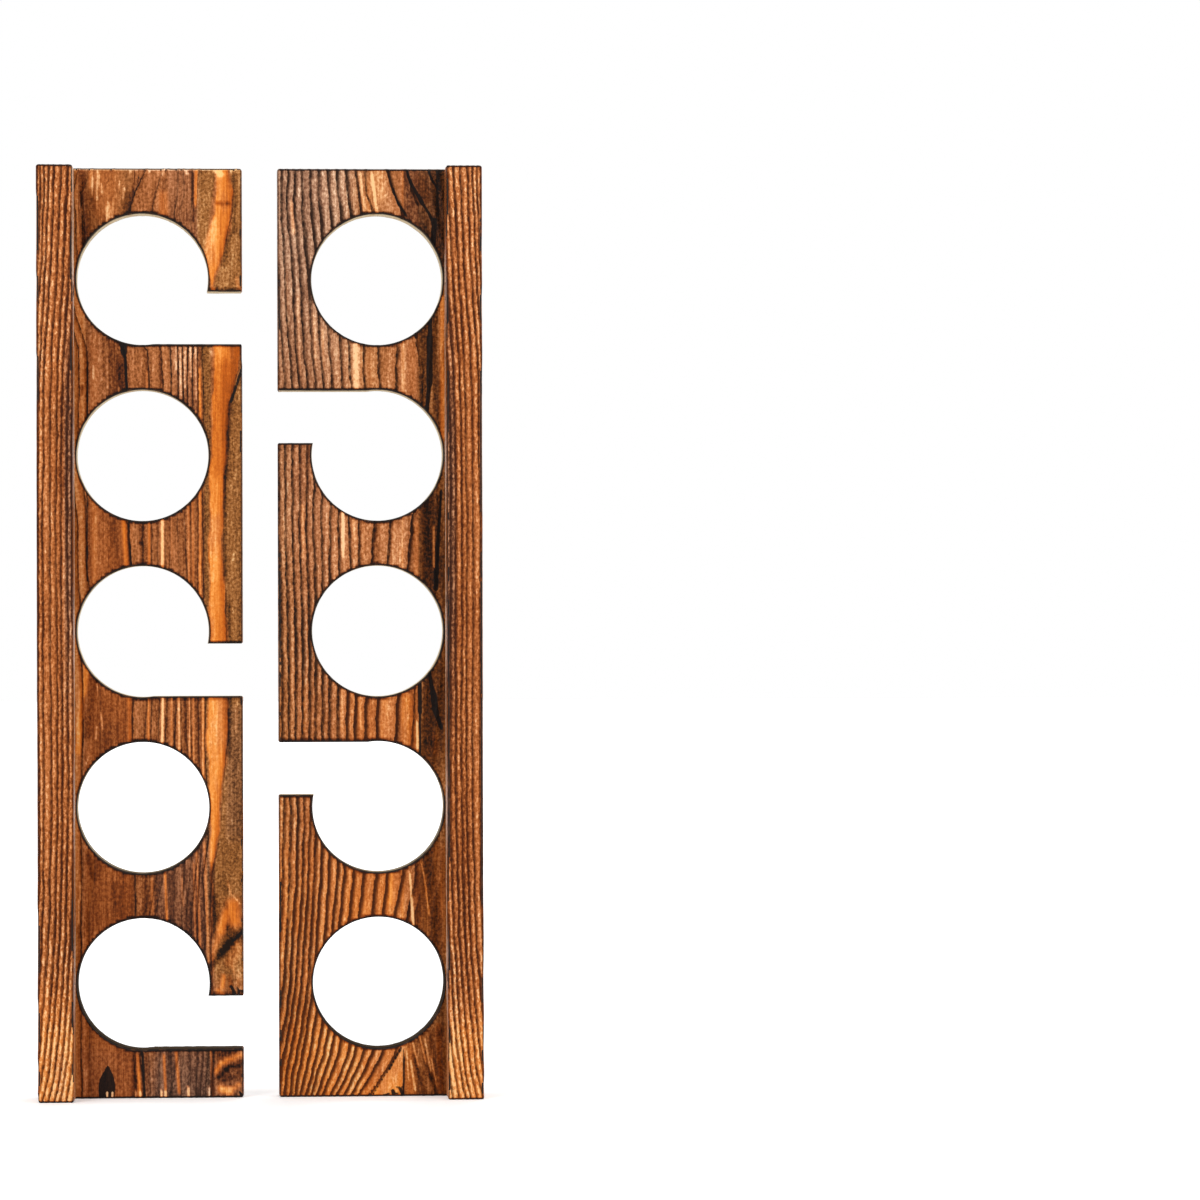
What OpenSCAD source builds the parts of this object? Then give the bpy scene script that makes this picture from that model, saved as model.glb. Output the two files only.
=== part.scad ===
// Wooden wall rack for five fishing rods, made as a pair of brackets.
// Each bracket is a rod board with five round holes, butted square against a narrow wall cleat and
// held by three countersunk screws. The cleat carries the holes for the wall screws.
// In the handle bracket every second hole, from the bottom one up, opens to the front through a
// low mouth. In the tip bracket the holes between them open through a high mouth.
// The brackets stand on end side by side, with their wall faces at the two ends of the pair.
// X runs along the pair, Y runs away from the cleats and Z is up. The origin is on the ground,
// in the middle of the pair.

/* [Rod holes] */
// Number of rod holes in each bracket
hole_count = 5; // [3:1:8]
// Diameter of a rod hole
hole_d = 63.5; // [45:0.5:80]
// Wood between two neighbouring holes
hole_web = 21.75; // [8:0.25:60]
// Wood between the lowest hole and the board's lower end
bottom_web = 23.5; // [10:0.25:80]
// Wood between the highest hole and the board's upper end
top_web = 22; // [10:0.25:80]
// Wood between a hole and the front edge of the board
front_lip = 16.5; // [6:0.5:40]
// Wood between a hole and the cleat
back_web = 1; // [0.5:0.5:20]
// Height of the mouth that opens a hole to the front
mouth_h = 25.4; // [10:0.1:32]
// Height left between the mouth's straight edge and the deepest point of its hole
mouth_step = 0.4; // [0.2:0.1:4]

/* [Boards] */
// Thickness of the rod board
board_t = 17.5; // [12:0.5:30]
// Thickness of the cleat, measured from the wall
cleat_t = 17.5; // [12:0.5:30]
// Width of the cleat, measured from the rod board's inner face
cleat_w = 22; // [20:0.5:60]
// Radius that rounds the long edges and ends of the boards
edge_round = 1.2; // [0.4:0.1:2]
// Width of the small flat round the rims and front corners of holes and mouths
rim_flat = 0.6; // [0.2:0.1:0.8]
// Distance between the front edges of the two brackets as they stand
pair_gap = 17; // [5:0.5:200]

/* [Joint screws] */
// Height of the outer joint screws from the ends of the board
joint_inset = 45; // [30:1:60]
// Depth that a screw reaches into the cleat
screw_bite = 18; // [12:0.5:19]
// Outer diameter of the thread
thread_d = 4; // [3:0.1:5]
// Diameter of the plain neck, which runs through the rod board
neck_d = 3; // [2:0.1:4]
// Length of the point
point_len = 6; // [3:0.5:8]
// Diameter of the countersunk head
head_d = 8; // [6:0.5:10]
// Thickness of the rim round the head
head_rim = 0.5; // [0.2:0.1:1]
// Depth of the head below the rod board's outer face
head_sink = 0.5; // [0.1:0.1:2]
// Width of the cross recess in the head
cross_span = 4.6; // [3:0.1:5]
// Width of each arm of the cross recess
cross_arm = 1; // [0.5:0.1:1.4]
// Depth of the cross recess
cross_depth = 2; // [1:0.1:2.2]
// Space left round a screw in its hole
screw_gap = 0.1; // [0.05:0.05:0.4]

/* [Wall screw holes] */
// Diameter of a hole for a wall screw
wall_hole_d = 5; // [3:0.5:7]
// Diameter of its countersink on the cleat's front
wall_sink_d = 9; // [7.5:0.5:14]
// Height between a wall screw hole and the joint screw beside it
wall_offset = 15; // [12:0.5:30]

/* [Hidden] */
$fn = 96;
// Distance that a cutter runs past the face that it opens
past = 1;

hole_r = hole_d / 2;
hole_pitch = hole_d + hole_web;
first_hole_z = bottom_web + hole_r;
rack_h = first_hole_z + (hole_count - 1) * hole_pitch + hole_r + top_web;
hole_x = cleat_t + back_web + hole_r;
board_w = hole_x + hole_r + front_lip;
rack_t = cleat_w + board_t;
// Middle of a mouth, below the centre of a hole in the handle bracket and above it in the other
mouth_offset = hole_r - mouth_step - mouth_h / 2;

screw_len = board_t - head_sink + screw_bite;
joint_x = cleat_t / 2;
joint_z = [joint_inset, rack_h / 2, rack_h - joint_inset];
wall_z = [joint_z[0] + wall_offset, joint_z[1] + wall_offset, joint_z[2] - wall_offset];

handle_board_wood = "#a5622f";
tip_board_wood = "#8f5a33";
cleat_wood = "#9c5b2d";
black_steel = "#1d1c1b";

// Rectangle from the origin to size, with round corners.
module round_rectangle(size, r) {
    translate([r, 0])
        square([size.x - 2 * r, size.y]);
    translate([0, r])
        square([size.x, size.y - 2 * r]);
    for (x = [r, size.x - r], y = [r, size.y - r])
        translate([x, y])
            circle(r);
}

// Board from the origin to size, with all its edges rounded.
module board(size, r) {
    intersection() {
        linear_extrude(size.z)
            round_rectangle([size.x, size.y], r);
        translate([0, size.y, 0])
            rotate([90, 0, 0])
                linear_extrude(size.y)
                    round_rectangle([size.x, size.z], r);
        rotate([90, 0, 90])
            linear_extrude(size.x)
                round_rectangle([size.y, size.z], r);
    }
}

// One side of an opening's section through the rod board, as [half width, depth] from the inner
// face to the outer one. It widens at both faces to cut the small flat of the rim.
function rim_side(half) = [
    [half + rim_flat + past, -past],
    [half, rim_flat],
    [half, board_t - rim_flat],
    [half + rim_flat + past, board_t + past]
];

// Round hole along +Y, with the board's inner face at y = 0.
module rod_hole() {
    rotate([-90, 0, 0])
        rotate_extrude()
            polygon([[0, -past], each rim_side(hole_r), [0, board_t + past]]);
}

// Mouth from the hole's centre to the front, with its middle line along +X and the board's inner
// face at y = 0. A wedge cuts the small flats of its two corners on the board's front edge.
module rod_mouth() {
    half = mouth_h / 2;
    front = hole_r + front_lip;
    upper = [for (p = rim_side(half)) [p.y, p.x]];
    lower = [for (i = [len(upper) - 1:-1:0]) [upper[i].x, -upper[i].y]];
    rotate([90, 0, 90])
        linear_extrude(front + past)
            polygon(concat(upper, lower));
    flare = half + rim_flat + past;
    translate([0, board_t + past, 0])
        rotate([90, 0, 0])
            linear_extrude(board_t + 2 * past)
                polygon([[front + past - flare, 0], [front + past, -flare], [front + past, flare]]);
}

// Countersunk screw that points along -Y, with the face of its head at y = 0.
module joint_screw() {
    head_r = head_d / 2;
    neck_r = neck_d / 2;
    thread_r = thread_d / 2;
    neck_end = board_t - head_sink;
    cone_end = head_rim + head_r - neck_r;
    color(black_steel)
        rotate([90, 0, 0])
            difference() {
                rotate_extrude()
                    polygon([[0, 0], [head_r, 0], [head_r, head_rim], [neck_r, cone_end],
                             [neck_r, neck_end], [thread_r, neck_end],
                             [thread_r, screw_len - point_len], [0, screw_len]]);
                cross_recess();
            }
}

// Cross recess that narrows with depth, from z = 0 up.
module cross_recess() {
    intersection() {
        translate([0, 0, -past])
            cylinder(h = past + cross_depth, d1 = cross_span + past, d2 = cross_arm);
        for (turn = [0, 90])
            rotate(turn)
                translate([-cross_span / 2, -cross_arm / 2, -past])
                    cube([cross_span, cross_arm, past + cross_depth]);
    }
}

// Hole for one joint screw, placed as the screw is, with its countersink open to the outer face.
module joint_bore() {
    sink_r = head_d / 2 + screw_gap;
    bore_r = thread_d / 2 + screw_gap;
    rotate([90, 0, 0])
        rotate_extrude()
            polygon([[0, -head_sink - past], [sink_r, -head_sink - past], [sink_r, head_rim],
                     [bore_r, head_rim + sink_r - bore_r], [bore_r, screw_len - point_len],
                     [0, screw_len + screw_gap]]);
}

// Countersunk hole for a wall screw, along +X from the wall face at x = 0.
module wall_bore() {
    bore_r = wall_hole_d / 2;
    sink_r = wall_sink_d / 2;
    rotate([0, 90, 0])
        rotate_extrude()
            polygon([[0, -past], [bore_r, -past], [bore_r, cleat_t - sink_r + bore_r],
                     [sink_r + past, cleat_t + past], [0, cleat_t + past]]);
}

// Puts a joint screw or its hole at one of the three heights.
module at_joint(z) {
    translate([joint_x, rack_t - head_sink, z])
        children();
}

// Rod board with its wall face on x = 0. Every second hole is open, from open_first up. The mouth
// is level with the bottom of the hole where side is -1, and with its top where side is 1.
module rod_board(open_first, side) {
    difference() {
        translate([0, cleat_w, 0])
            board([board_w, board_t, rack_h], edge_round);
        for (i = [0:hole_count - 1])
            translate([hole_x, cleat_w, first_hole_z + i * hole_pitch])
                rod_hole();
        for (i = [open_first:2:hole_count - 1])
            translate([hole_x, cleat_w, first_hole_z + i * hole_pitch + side * mouth_offset])
                rod_mouth();
        for (z = joint_z)
            at_joint(z)
                joint_bore();
    }
}

// Cleat with its wall face on x = 0, butted against the rod board's inner face.
module wall_cleat() {
    difference() {
        board([cleat_t, cleat_w, rack_h], edge_round);
        for (z = joint_z)
            at_joint(z)
                joint_bore();
        for (z = wall_z)
            translate([0, cleat_w / 2, z])
                wall_bore();
    }
}

// Stands a piece of the handle bracket in its place, with the wall at the left end of the pair.
module in_handle_bracket() {
    translate([-board_w - pair_gap / 2, -rack_t / 2, 0])
        children();
}

// Stands a piece of the tip bracket in its place, with the wall at the right end of the pair.
module in_tip_bracket() {
    mirror([1, 0, 0])
        in_handle_bracket()
            children();
}

module handle_rod_board() {
    color(handle_board_wood)
        in_handle_bracket()
            rod_board(open_first = 0, side = -1);
}

module handle_wall_cleat() {
    color(cleat_wood)
        in_handle_bracket()
            wall_cleat();
}

module handle_joint_screw(place) {
    in_handle_bracket()
        at_joint(joint_z[place])
            joint_screw();
}

module tip_rod_board() {
    color(tip_board_wood)
        in_tip_bracket()
            rod_board(open_first = 1, side = 1);
}

module tip_wall_cleat() {
    color(cleat_wood)
        in_tip_bracket()
            wall_cleat();
}

module tip_joint_screw(place) {
    in_tip_bracket()
        at_joint(joint_z[place])
            joint_screw();
}

handle_rod_board();
handle_wall_cleat();
handle_joint_screw(0);  // handle_joint_screw_bottom
handle_joint_screw(1);  // handle_joint_screw_middle
handle_joint_screw(2);  // handle_joint_screw_top
tip_rod_board();
tip_wall_cleat();
tip_joint_screw(0);  // tip_joint_screw_bottom
tip_joint_screw(1);  // tip_joint_screw_middle
tip_joint_screw(2);  // tip_joint_screw_top
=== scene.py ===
# %% [markdown]
# # A pair of torched pine brackets for fishing rods
# Each bracket is two pine boards: a rod board with five round holes, and a narrow cleat that is
# screwed to a wall. The boards were burnt with a torch, brushed so that the hard lines of the
# grain stand proud, and varnished. This script carves the four boards as meshes round the
# imported model, gives every face the finish that the tool or the torch left on it, with a few
# highlights and reflections painted into the colours, and sets up a plain studio. Everything is
# in metres and in the imported model's own place.

# %% Load the imported model
import math
import random

import bmesh
import bpy
import numpy as np
from mathutils import Matrix, Vector


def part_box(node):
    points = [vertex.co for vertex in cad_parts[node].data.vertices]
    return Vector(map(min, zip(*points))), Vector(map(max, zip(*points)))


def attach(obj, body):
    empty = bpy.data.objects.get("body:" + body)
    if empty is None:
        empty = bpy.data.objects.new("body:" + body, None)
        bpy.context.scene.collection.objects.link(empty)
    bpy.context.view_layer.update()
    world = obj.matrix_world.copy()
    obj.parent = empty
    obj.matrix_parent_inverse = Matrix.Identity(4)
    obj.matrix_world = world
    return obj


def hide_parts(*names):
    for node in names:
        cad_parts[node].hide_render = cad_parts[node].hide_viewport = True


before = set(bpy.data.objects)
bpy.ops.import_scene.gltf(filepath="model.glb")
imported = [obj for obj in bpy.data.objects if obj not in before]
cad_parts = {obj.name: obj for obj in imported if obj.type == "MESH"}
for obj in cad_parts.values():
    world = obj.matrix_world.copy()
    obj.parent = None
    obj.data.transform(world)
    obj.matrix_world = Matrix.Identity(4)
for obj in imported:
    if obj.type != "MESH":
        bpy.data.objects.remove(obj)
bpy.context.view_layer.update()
MM = 0.001
print("nodes:", sorted(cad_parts))

# %% [markdown]
# Operators act on whatever is selected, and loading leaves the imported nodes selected. So every
# step below first selects exactly one object with this helper.

# %% Helper: work on one object only


def only(obj):
    """Leaves edit mode, deselects everything, then selects obj and makes it active."""
    if bpy.context.object and bpy.context.object.mode != "OBJECT":
        bpy.ops.object.mode_set(mode="OBJECT")
    bpy.ops.object.select_all(action="DESELECT")
    obj.select_set(True)
    bpy.context.view_layer.objects.active = obj


# %% [markdown]
# The pair is photographed square on, from far enough back that the faces of the cleats and the
# walls of the holes only just show. The camera stands in front of the middle of the pair at half
# its height. The pair lies left of the middle of the picture, so the camera is turned a little to
# the right and up, which frames it without any lens shift.

# %% Camera
PICTURE = 1200
PAIR_IN_PICTURE = Vector((261.1, 631.8))
BOARD_HEIGHT_IN_PICTURE = 925.4
CAMERA_DISTANCE = 2.6
CAMERA_ROLL = math.radians(-0.16)

board_low, board_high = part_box("handle_rod_board")
cleat_low, cleat_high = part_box("handle_wall_cleat")
inner_y, outer_y = board_low.y, board_high.y
bracket_height = board_high.z - board_low.z
metres_per_pixel = bracket_height / BOARD_HEIGHT_IN_PICTURE

middle = Vector((0, inner_y, bracket_height / 2))
off_centre = (Vector((PICTURE / 2, PICTURE / 2)) - PAIR_IN_PICTURE) * metres_per_pixel
aim = middle + Vector((off_centre.x, 0, -off_centre.y))
camera_data = bpy.data.cameras.new("camera")
camera_data.sensor_width = 36
camera = bpy.data.objects.new("camera", camera_data)
bpy.context.scene.collection.objects.link(camera)
camera.location = middle - Vector((0, CAMERA_DISTANCE, 0))
level_view = (aim - camera.location).to_track_quat("-Z", "Y").to_matrix()
camera.rotation_euler = (level_view @ Matrix.Rotation(CAMERA_ROLL, 3, "Z")).to_euler()
view_width = PICTURE * metres_per_pixel
camera_data.lens = camera_data.sensor_width * (aim - camera.location).length / view_width
camera_data.clip_end = 20
bpy.context.scene.camera = camera
print("lens", round(camera_data.lens, 1), "mm, turned", round(math.degrees(camera.rotation_euler.z), 2))

# %% [markdown]
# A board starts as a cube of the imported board's size. Its edges are bevelled round, as sanding
# leaves them, and the edges between the rounds are then cut into a fine even grid, because the
# brushed grain later needs points to move. Cutting the edges of one direction at a time keeps
# every face a neat four-sided cell. The grid is finer across the grain than along it, like the
# grain itself.

# %% A gridded blank for a board
EDGE_ROUND = 1.2 * MM
BEVEL_STEPS = 3
MOST_CUTS = 30
ACROSS_GRAIN = 0.6 * MM
ALONG_GRAIN = 1.8 * MM


def pick_long_edges(obj, axis, low, high):
    """Selects the edges that run along axis and lie between low and high."""
    mesh = bmesh.from_edit_mesh(obj.data)
    for edge in mesh.edges:
        a, b = (v.co for v in edge.verts)
        along = abs(b[axis] - a[axis]) > 0.95 * (b - a).length
        inside = min(a[axis], b[axis]) > low - 1e-6 and max(a[axis], b[axis]) < high + 1e-6
        edge.select_set(along and inside)
    bmesh.update_edit_mesh(obj.data)


def cut_numbers(length, cell):
    """How often to cut, in one or two rounds, so that the cells come out near the wanted size."""
    parts = max(1, round(length / cell))
    if parts <= MOST_CUTS:
        return [parts - 1]
    first = math.ceil(math.sqrt(parts))
    return [first - 1, round(parts / first) - 1]


def make_blank(name, low, high):
    """A solid board between two corners, with round edges and a grid over every face."""
    bpy.ops.object.select_all(action="DESELECT")
    bpy.ops.mesh.primitive_cube_add(size=1, location=(low + high) / 2)
    blank = bpy.context.object
    blank.name = name
    blank.data.name = name
    blank.scale = high - low
    bpy.ops.object.transform_apply(location=True, rotation=True, scale=True)
    bpy.ops.object.mode_set(mode="EDIT")
    bpy.ops.mesh.select_mode(type="EDGE")
    bpy.ops.mesh.select_all(action="SELECT")
    bpy.ops.mesh.bevel(offset=EDGE_ROUND, segments=BEVEL_STEPS, affect="EDGES")
    for axis, cell in enumerate((ACROSS_GRAIN, ACROSS_GRAIN, ALONG_GRAIN)):
        start, end = low[axis] + EDGE_ROUND, high[axis] - EDGE_ROUND
        for cuts in cut_numbers(end - start, cell):
            pick_long_edges(blank, axis, start, end)
            bpy.ops.mesh.subdivide(number_cuts=cuts)
    bpy.ops.object.mode_set(mode="OBJECT")
    print(name, "blank:", len(blank.data.polygons), "faces")
    return blank


boards = {}
for node in ("handle_rod_board", "handle_wall_cleat", "tip_rod_board", "tip_wall_cleat"):
    boards[node] = make_blank(node + "_wood", *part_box(node))

# %% [markdown]
# The rod holes were bored with a hole saw and their rims broken with a small flat. One cutter is
# modelled for them: a cylinder as long as the board is thick less its two flats, whose caps are
# extruded outwards and widened, so that it cuts the hole and both flats at once. It is copied up
# the board, and the boolean modifier takes all five copies away together.

# %% A cutter for the rod holes
HOLE_RADIUS = 31.75 * MM
HOLE_PITCH = 85.25 * MM
FIRST_HOLE_Z = 55.25 * MM
HOLE_COUNT = 5
FRONT_LIP = 16.5 * MM
RIM_FLAT = 0.6 * MM
PAST = 1 * MM
HOLE_SIDES = 144
WALL_CUTS = 11
WIDEN = (HOLE_RADIUS + RIM_FLAT + PAST) / HOLE_RADIUS
board_middle_y = (inner_y + outer_y) / 2
board_thickness = outer_y - inner_y


def pick_faces(obj, test):
    """Selects, in edit mode, the faces whose centre and normal pass the test."""
    bpy.ops.mesh.select_mode(type="FACE")
    mesh = bmesh.from_edit_mesh(obj.data)
    for face in mesh.faces:
        face.select_set(test(face.calc_center_median(), face.normal))
    bmesh.update_edit_mesh(obj.data)


def flare_end(obj, centre, direction, resize):
    """Extrudes the cap that looks in a direction past the board's face, and widens it."""
    way = Vector(direction)
    pick_faces(obj, lambda place, normal: normal.dot(way) > 0.9)
    bpy.ops.mesh.extrude_region_move(TRANSFORM_OT_translate={"value": way * (RIM_FLAT + PAST)})
    bpy.ops.transform.resize(value=resize, center_override=centre)


def copies(obj, places):
    """Copies of obj, each with its own mesh, moved by each of the places."""
    made = []
    for place in places:
        twin = obj.copy()
        twin.data = obj.data.copy()
        twin.data.transform(Matrix.Translation(place))
        bpy.context.scene.collection.objects.link(twin)
        made.append(twin)
    return made


def carve(board, tool, places):
    """Takes a copy of the tool at each place away from the board."""
    cutters = copies(tool, places)
    only(cutters[0])
    for cutter in cutters:
        cutter.select_set(True)
    if len(cutters) > 1:
        bpy.ops.object.join()
    cutter = bpy.context.object
    only(board)
    cut = board.modifiers.new("carve", "BOOLEAN")
    cut.operation = "DIFFERENCE"
    cut.solver = "MANIFOLD"
    cut.object = cutter
    bpy.ops.object.modifier_apply(modifier=cut.name)
    bpy.data.objects.remove(cutter)


def hole_tool():
    """Cutter for one rod hole, round the Y axis, at the height of the origin."""
    bpy.ops.object.select_all(action="DESELECT")
    bpy.ops.mesh.primitive_cylinder_add(
        vertices=HOLE_SIDES, radius=HOLE_RADIUS, depth=board_thickness - 2 * RIM_FLAT,
        location=(0, board_middle_y, 0), rotation=(math.pi / 2, 0, 0))
    tool = bpy.context.object
    bpy.ops.object.transform_apply(location=True, rotation=True, scale=True)
    bpy.ops.object.mode_set(mode="EDIT")
    bpy.ops.mesh.select_mode(type="EDGE")
    pick_long_edges(tool, 1, inner_y, outer_y)
    bpy.ops.mesh.subdivide(number_cuts=WALL_CUTS)
    for way in (-1, 1):
        flare_end(tool, (0, board_middle_y, 0), (0, way, 0), (WIDEN, 1, WIDEN))
    bpy.ops.object.mode_set(mode="OBJECT")
    return tool


BRACKETS = {
    "handle": {"side": -1, "open_holes": (0, 2, 4), "mouth_side": -1},
    "tip": {"side": 1, "open_holes": (1, 3), "mouth_side": 1},
}
wall_x = -board_low.x
hole_x = wall_x - (board_high.x + wall_x - FRONT_LIP - HOLE_RADIUS)
rod_hole_tool = hole_tool()
for bracket, facts in BRACKETS.items():
    x = facts["side"] * hole_x
    holes = [Vector((x, 0, FIRST_HOLE_Z + i * HOLE_PITCH)) for i in range(HOLE_COUNT)]
    carve(boards[bracket + "_rod_board"], rod_hole_tool, holes)
bpy.data.objects.remove(rod_hole_tool)
print("rod holes centred", round(hole_x / MM, 2), "mm from the middle of the pair")

# %% [markdown]
# Every second hole opens to the front through a straight mouth, cut with a saw. In the handle
# board its lower edge lies just above the bottom of the hole, in the tip board its upper edge
# just below the top. The mouth's rims have the same flats as the holes, and so have the two
# corners where the mouth opens through the front edge. Two cutters do this: one flared towards
# the board's faces and one flared towards its front.

# %% Cutters for the mouths
MOUTH_HEIGHT = 25.4 * MM
MOUTH_STEP = 0.4 * MM
MOUTH_WIDEN = (MOUTH_HEIGHT / 2 + RIM_FLAT + PAST) / (MOUTH_HEIGHT / 2)
MOUTH_CUTS = 18
mouth_offset = HOLE_RADIUS - MOUTH_STEP - MOUTH_HEIGHT / 2
front_reach = HOLE_RADIUS + FRONT_LIP


def mouth_tool(reach, thickness, flares, side):
    """Box cutter from the middle of a hole towards the front, flared in the given directions."""
    bpy.ops.object.select_all(action="DESELECT")
    centre = Vector((-side * reach / 2, board_middle_y, 0))
    bpy.ops.mesh.primitive_cube_add(size=1, location=centre)
    tool = bpy.context.object
    tool.scale = (reach, thickness, MOUTH_HEIGHT)
    bpy.ops.object.transform_apply(location=True, rotation=True, scale=True)
    bpy.ops.object.mode_set(mode="EDIT")
    bpy.ops.mesh.select_mode(type="EDGE")
    for axis, cuts in ((0, MOUTH_CUTS), (1, WALL_CUTS)):
        pick_long_edges(tool, axis, -1, 1)
        bpy.ops.mesh.subdivide(number_cuts=cuts)
    for way in flares:
        flare_end(tool, centre, way, (1, 1, MOUTH_WIDEN))
    bpy.ops.object.mode_set(mode="OBJECT")
    return tool


def mouth_places(facts):
    """Middles of a bracket's mouths, each above or below the middle of its hole."""
    heights = [FIRST_HOLE_Z + i * HOLE_PITCH for i in facts["open_holes"]]
    shift = facts["mouth_side"] * mouth_offset
    return [Vector((facts["side"] * hole_x, 0, height + shift)) for height in heights]


for bracket, facts in BRACKETS.items():
    side = facts["side"]
    places = mouth_places(facts)
    both_faces = ((0, -1, 0), (0, 1, 0))
    through = mouth_tool(front_reach + PAST, board_thickness - 2 * RIM_FLAT, both_faces, side)
    corners = mouth_tool(front_reach - RIM_FLAT, board_thickness + 2 * PAST, ((-side, 0, 0),), side)
    for tool in (through, corners):
        carve(boards[bracket + "_rod_board"], tool, places)
        bpy.data.objects.remove(tool)
    print(bracket, "mouths at", [round(place.z / MM, 1) for place in places], "mm")

# %% [markdown]
# Round tools that change their width along their length, such as a drill with a countersink, are
# turned like a chess pawn: the outline is drawn once as a chain of edges and spun round the axis.
# The spin closes on itself, so its doubled seam is merged and its faces are turned outwards.

# %% Drill for the joint screws, drill for the wall screws
DRILL_SIDES = 48
JOINT_FROM_END = 45 * MM
WALL_FROM_END = 60 * MM
WALL_ABOVE_MIDDLE = 15 * MM
HEAD_SINK = 0.5 * MM
JOINT_DRILL_MM = [(0, -1.5), (4.1, -1.5), (4.1, 0.5), (2.1, 2.5), (2.1, 29), (0, 35.1)]
WALL_DRILL_MM = [(0, -1), (5.5, -1), (2.5, 2), (2.5, 19), (0, 19)]
JOINT_HEIGHTS = [JOINT_FROM_END, bracket_height / 2, bracket_height - JOINT_FROM_END]
WALL_HEIGHTS = [
    WALL_FROM_END, bracket_height / 2 + WALL_ABOVE_MIDDLE, bracket_height - WALL_FROM_END]
cleat_thickness = cleat_high.x - cleat_low.x
joint_x = wall_x - cleat_thickness / 2
cleat_middle_y = (cleat_low.y + cleat_high.y) / 2


def lathe(name, outline, steps):
    """Spins an outline of (radius, height) points round Z and closes it to a solid."""
    bpy.ops.object.select_all(action="DESELECT")
    mesh = bpy.data.meshes.new(name)
    points = [(radius, 0, height) for radius, height in outline]
    edges = [(i, i + 1) for i in range(len(outline) - 1)]
    mesh.from_pydata(points, edges, [])
    turned = bpy.data.objects.new(name, mesh)
    bpy.context.scene.collection.objects.link(turned)
    only(turned)
    bpy.ops.object.mode_set(mode="EDIT")
    bpy.ops.mesh.select_all(action="SELECT")
    bpy.ops.mesh.spin(steps=steps, angle=2 * math.pi, center=(0, 0, 0), axis=(0, 0, 1))
    bpy.ops.mesh.select_all(action="SELECT")
    bpy.ops.mesh.remove_doubles(threshold=1e-6)
    bpy.ops.mesh.normals_make_consistent(inside=False)
    bpy.ops.object.mode_set(mode="OBJECT")
    return turned


def turned_tool(name, outline_mm, turn, place):
    """Lathe-turned cutter, laid along another axis and put in its place."""
    tool = lathe(name, [(r * MM, h * MM) for r, h in outline_mm], DRILL_SIDES)
    tool.data.transform(Matrix.Translation(place) @ turn)
    return tool


head_seat = Vector((0, outer_y - HEAD_SINK, 0))
joint_drill = turned_tool(
    "joint_drill", JOINT_DRILL_MM, Matrix.Rotation(math.radians(90), 4, "X"), head_seat)
for bracket, facts in BRACKETS.items():
    side = facts["side"]
    joint_places = [Vector((side * joint_x, 0, height)) for height in JOINT_HEIGHTS]
    for part in ("_rod_board", "_wall_cleat"):
        carve(boards[bracket + part], joint_drill, joint_places)
    towards_wall = Matrix.Rotation(math.radians(90 * side), 4, "Y")
    cleat_front = Vector((side * (wall_x - cleat_thickness), cleat_middle_y, 0))
    wall_drill = turned_tool("wall_drill", WALL_DRILL_MM, towards_wall, cleat_front)
    wall_places = [Vector((0, 0, height)) for height in WALL_HEIGHTS]
    carve(boards[bracket + "_wall_cleat"], wall_drill, wall_places)
    bpy.data.objects.remove(wall_drill)
bpy.data.objects.remove(joint_drill)

# %% [markdown]
# Where two cuts meet in one plane, such as a mouth and the bottom of its hole, they leave pairs of
# points on the same spot with faces of no area between them. Merging these points keeps each
# board one closed skin. Four triangles of no area are still left on the handle board.

# %% Weld the cuts
WELD = 0.001 * MM
for node, board in boards.items():
    only(board)
    bpy.ops.object.mode_set(mode="EDIT")
    bpy.ops.mesh.select_all(action="SELECT")
    bpy.ops.mesh.remove_doubles(threshold=WELD)
    bpy.ops.object.mode_set(mode="OBJECT")
    print(node, len(board.data.polygons), "faces after drilling and welding")

# %% [markdown]
# The grain of a board is the cut through the tree's growth rings. Each ring ends in a hard dark
# line, and the torch burns that line blacker still. Instead of painting lines, the script
# numbers the rings: every point of a board gets a ring count that grows from the wall to the
# front, and passes a whole number on each dark line. The count is stored on the mesh as an
# attribute, so that the material can draw the lines as fine as it likes and the brushed relief
# can follow them too. A point below the face belongs to the ring that reaches the face a little
# further back, because the rings are circles round a heart that lay beyond the front edge. What
# the rings don't give is added by short strokes, areas and bands: chips, burns, and the places
# where the torch left the wood golden or grey. The strokes mark the visible face only.

# %% Ring counts: the helpers
HEART_BEYOND_FRONT = 32.0
HEART_DEPTH = 25.0
PADDING = 18
LINE_NUMBERS = np.arange(-27, 17)
BACK_GAP = 4.2
BACK_UNEVEN = 1.4
BACK_BOLD = 6
BOLDEST = 9
RIPPLES = 4


def rise(value, low, high):
    """0 at low, 1 at high and straight between them. High may be the smaller of the two."""
    return np.clip((value - low) / (high - low), 0, 1)


def ripple(along, seed, longest, height):
    """A smooth seeded waviness: sine waves, each shorter and lower than the one before."""
    rng = random.Random(seed)
    total = 0.0
    for step in range(RIPPLES):
        phase = rng.random()
        turns = along * 1.9 ** step / longest + phase
        total = total + height / 1.7 ** step * np.sin(2 * math.pi * turns)
    return total


def surface_reach(u, v, board_width):
    """Where on the inner face, in mm from the wall, the ring through a point v below it comes out."""
    heart = board_width + HEART_BEYOND_FRONT
    return heart - np.sqrt((heart - u) ** 2 + v * (v + 2 * HEART_DEPTH))


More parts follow.
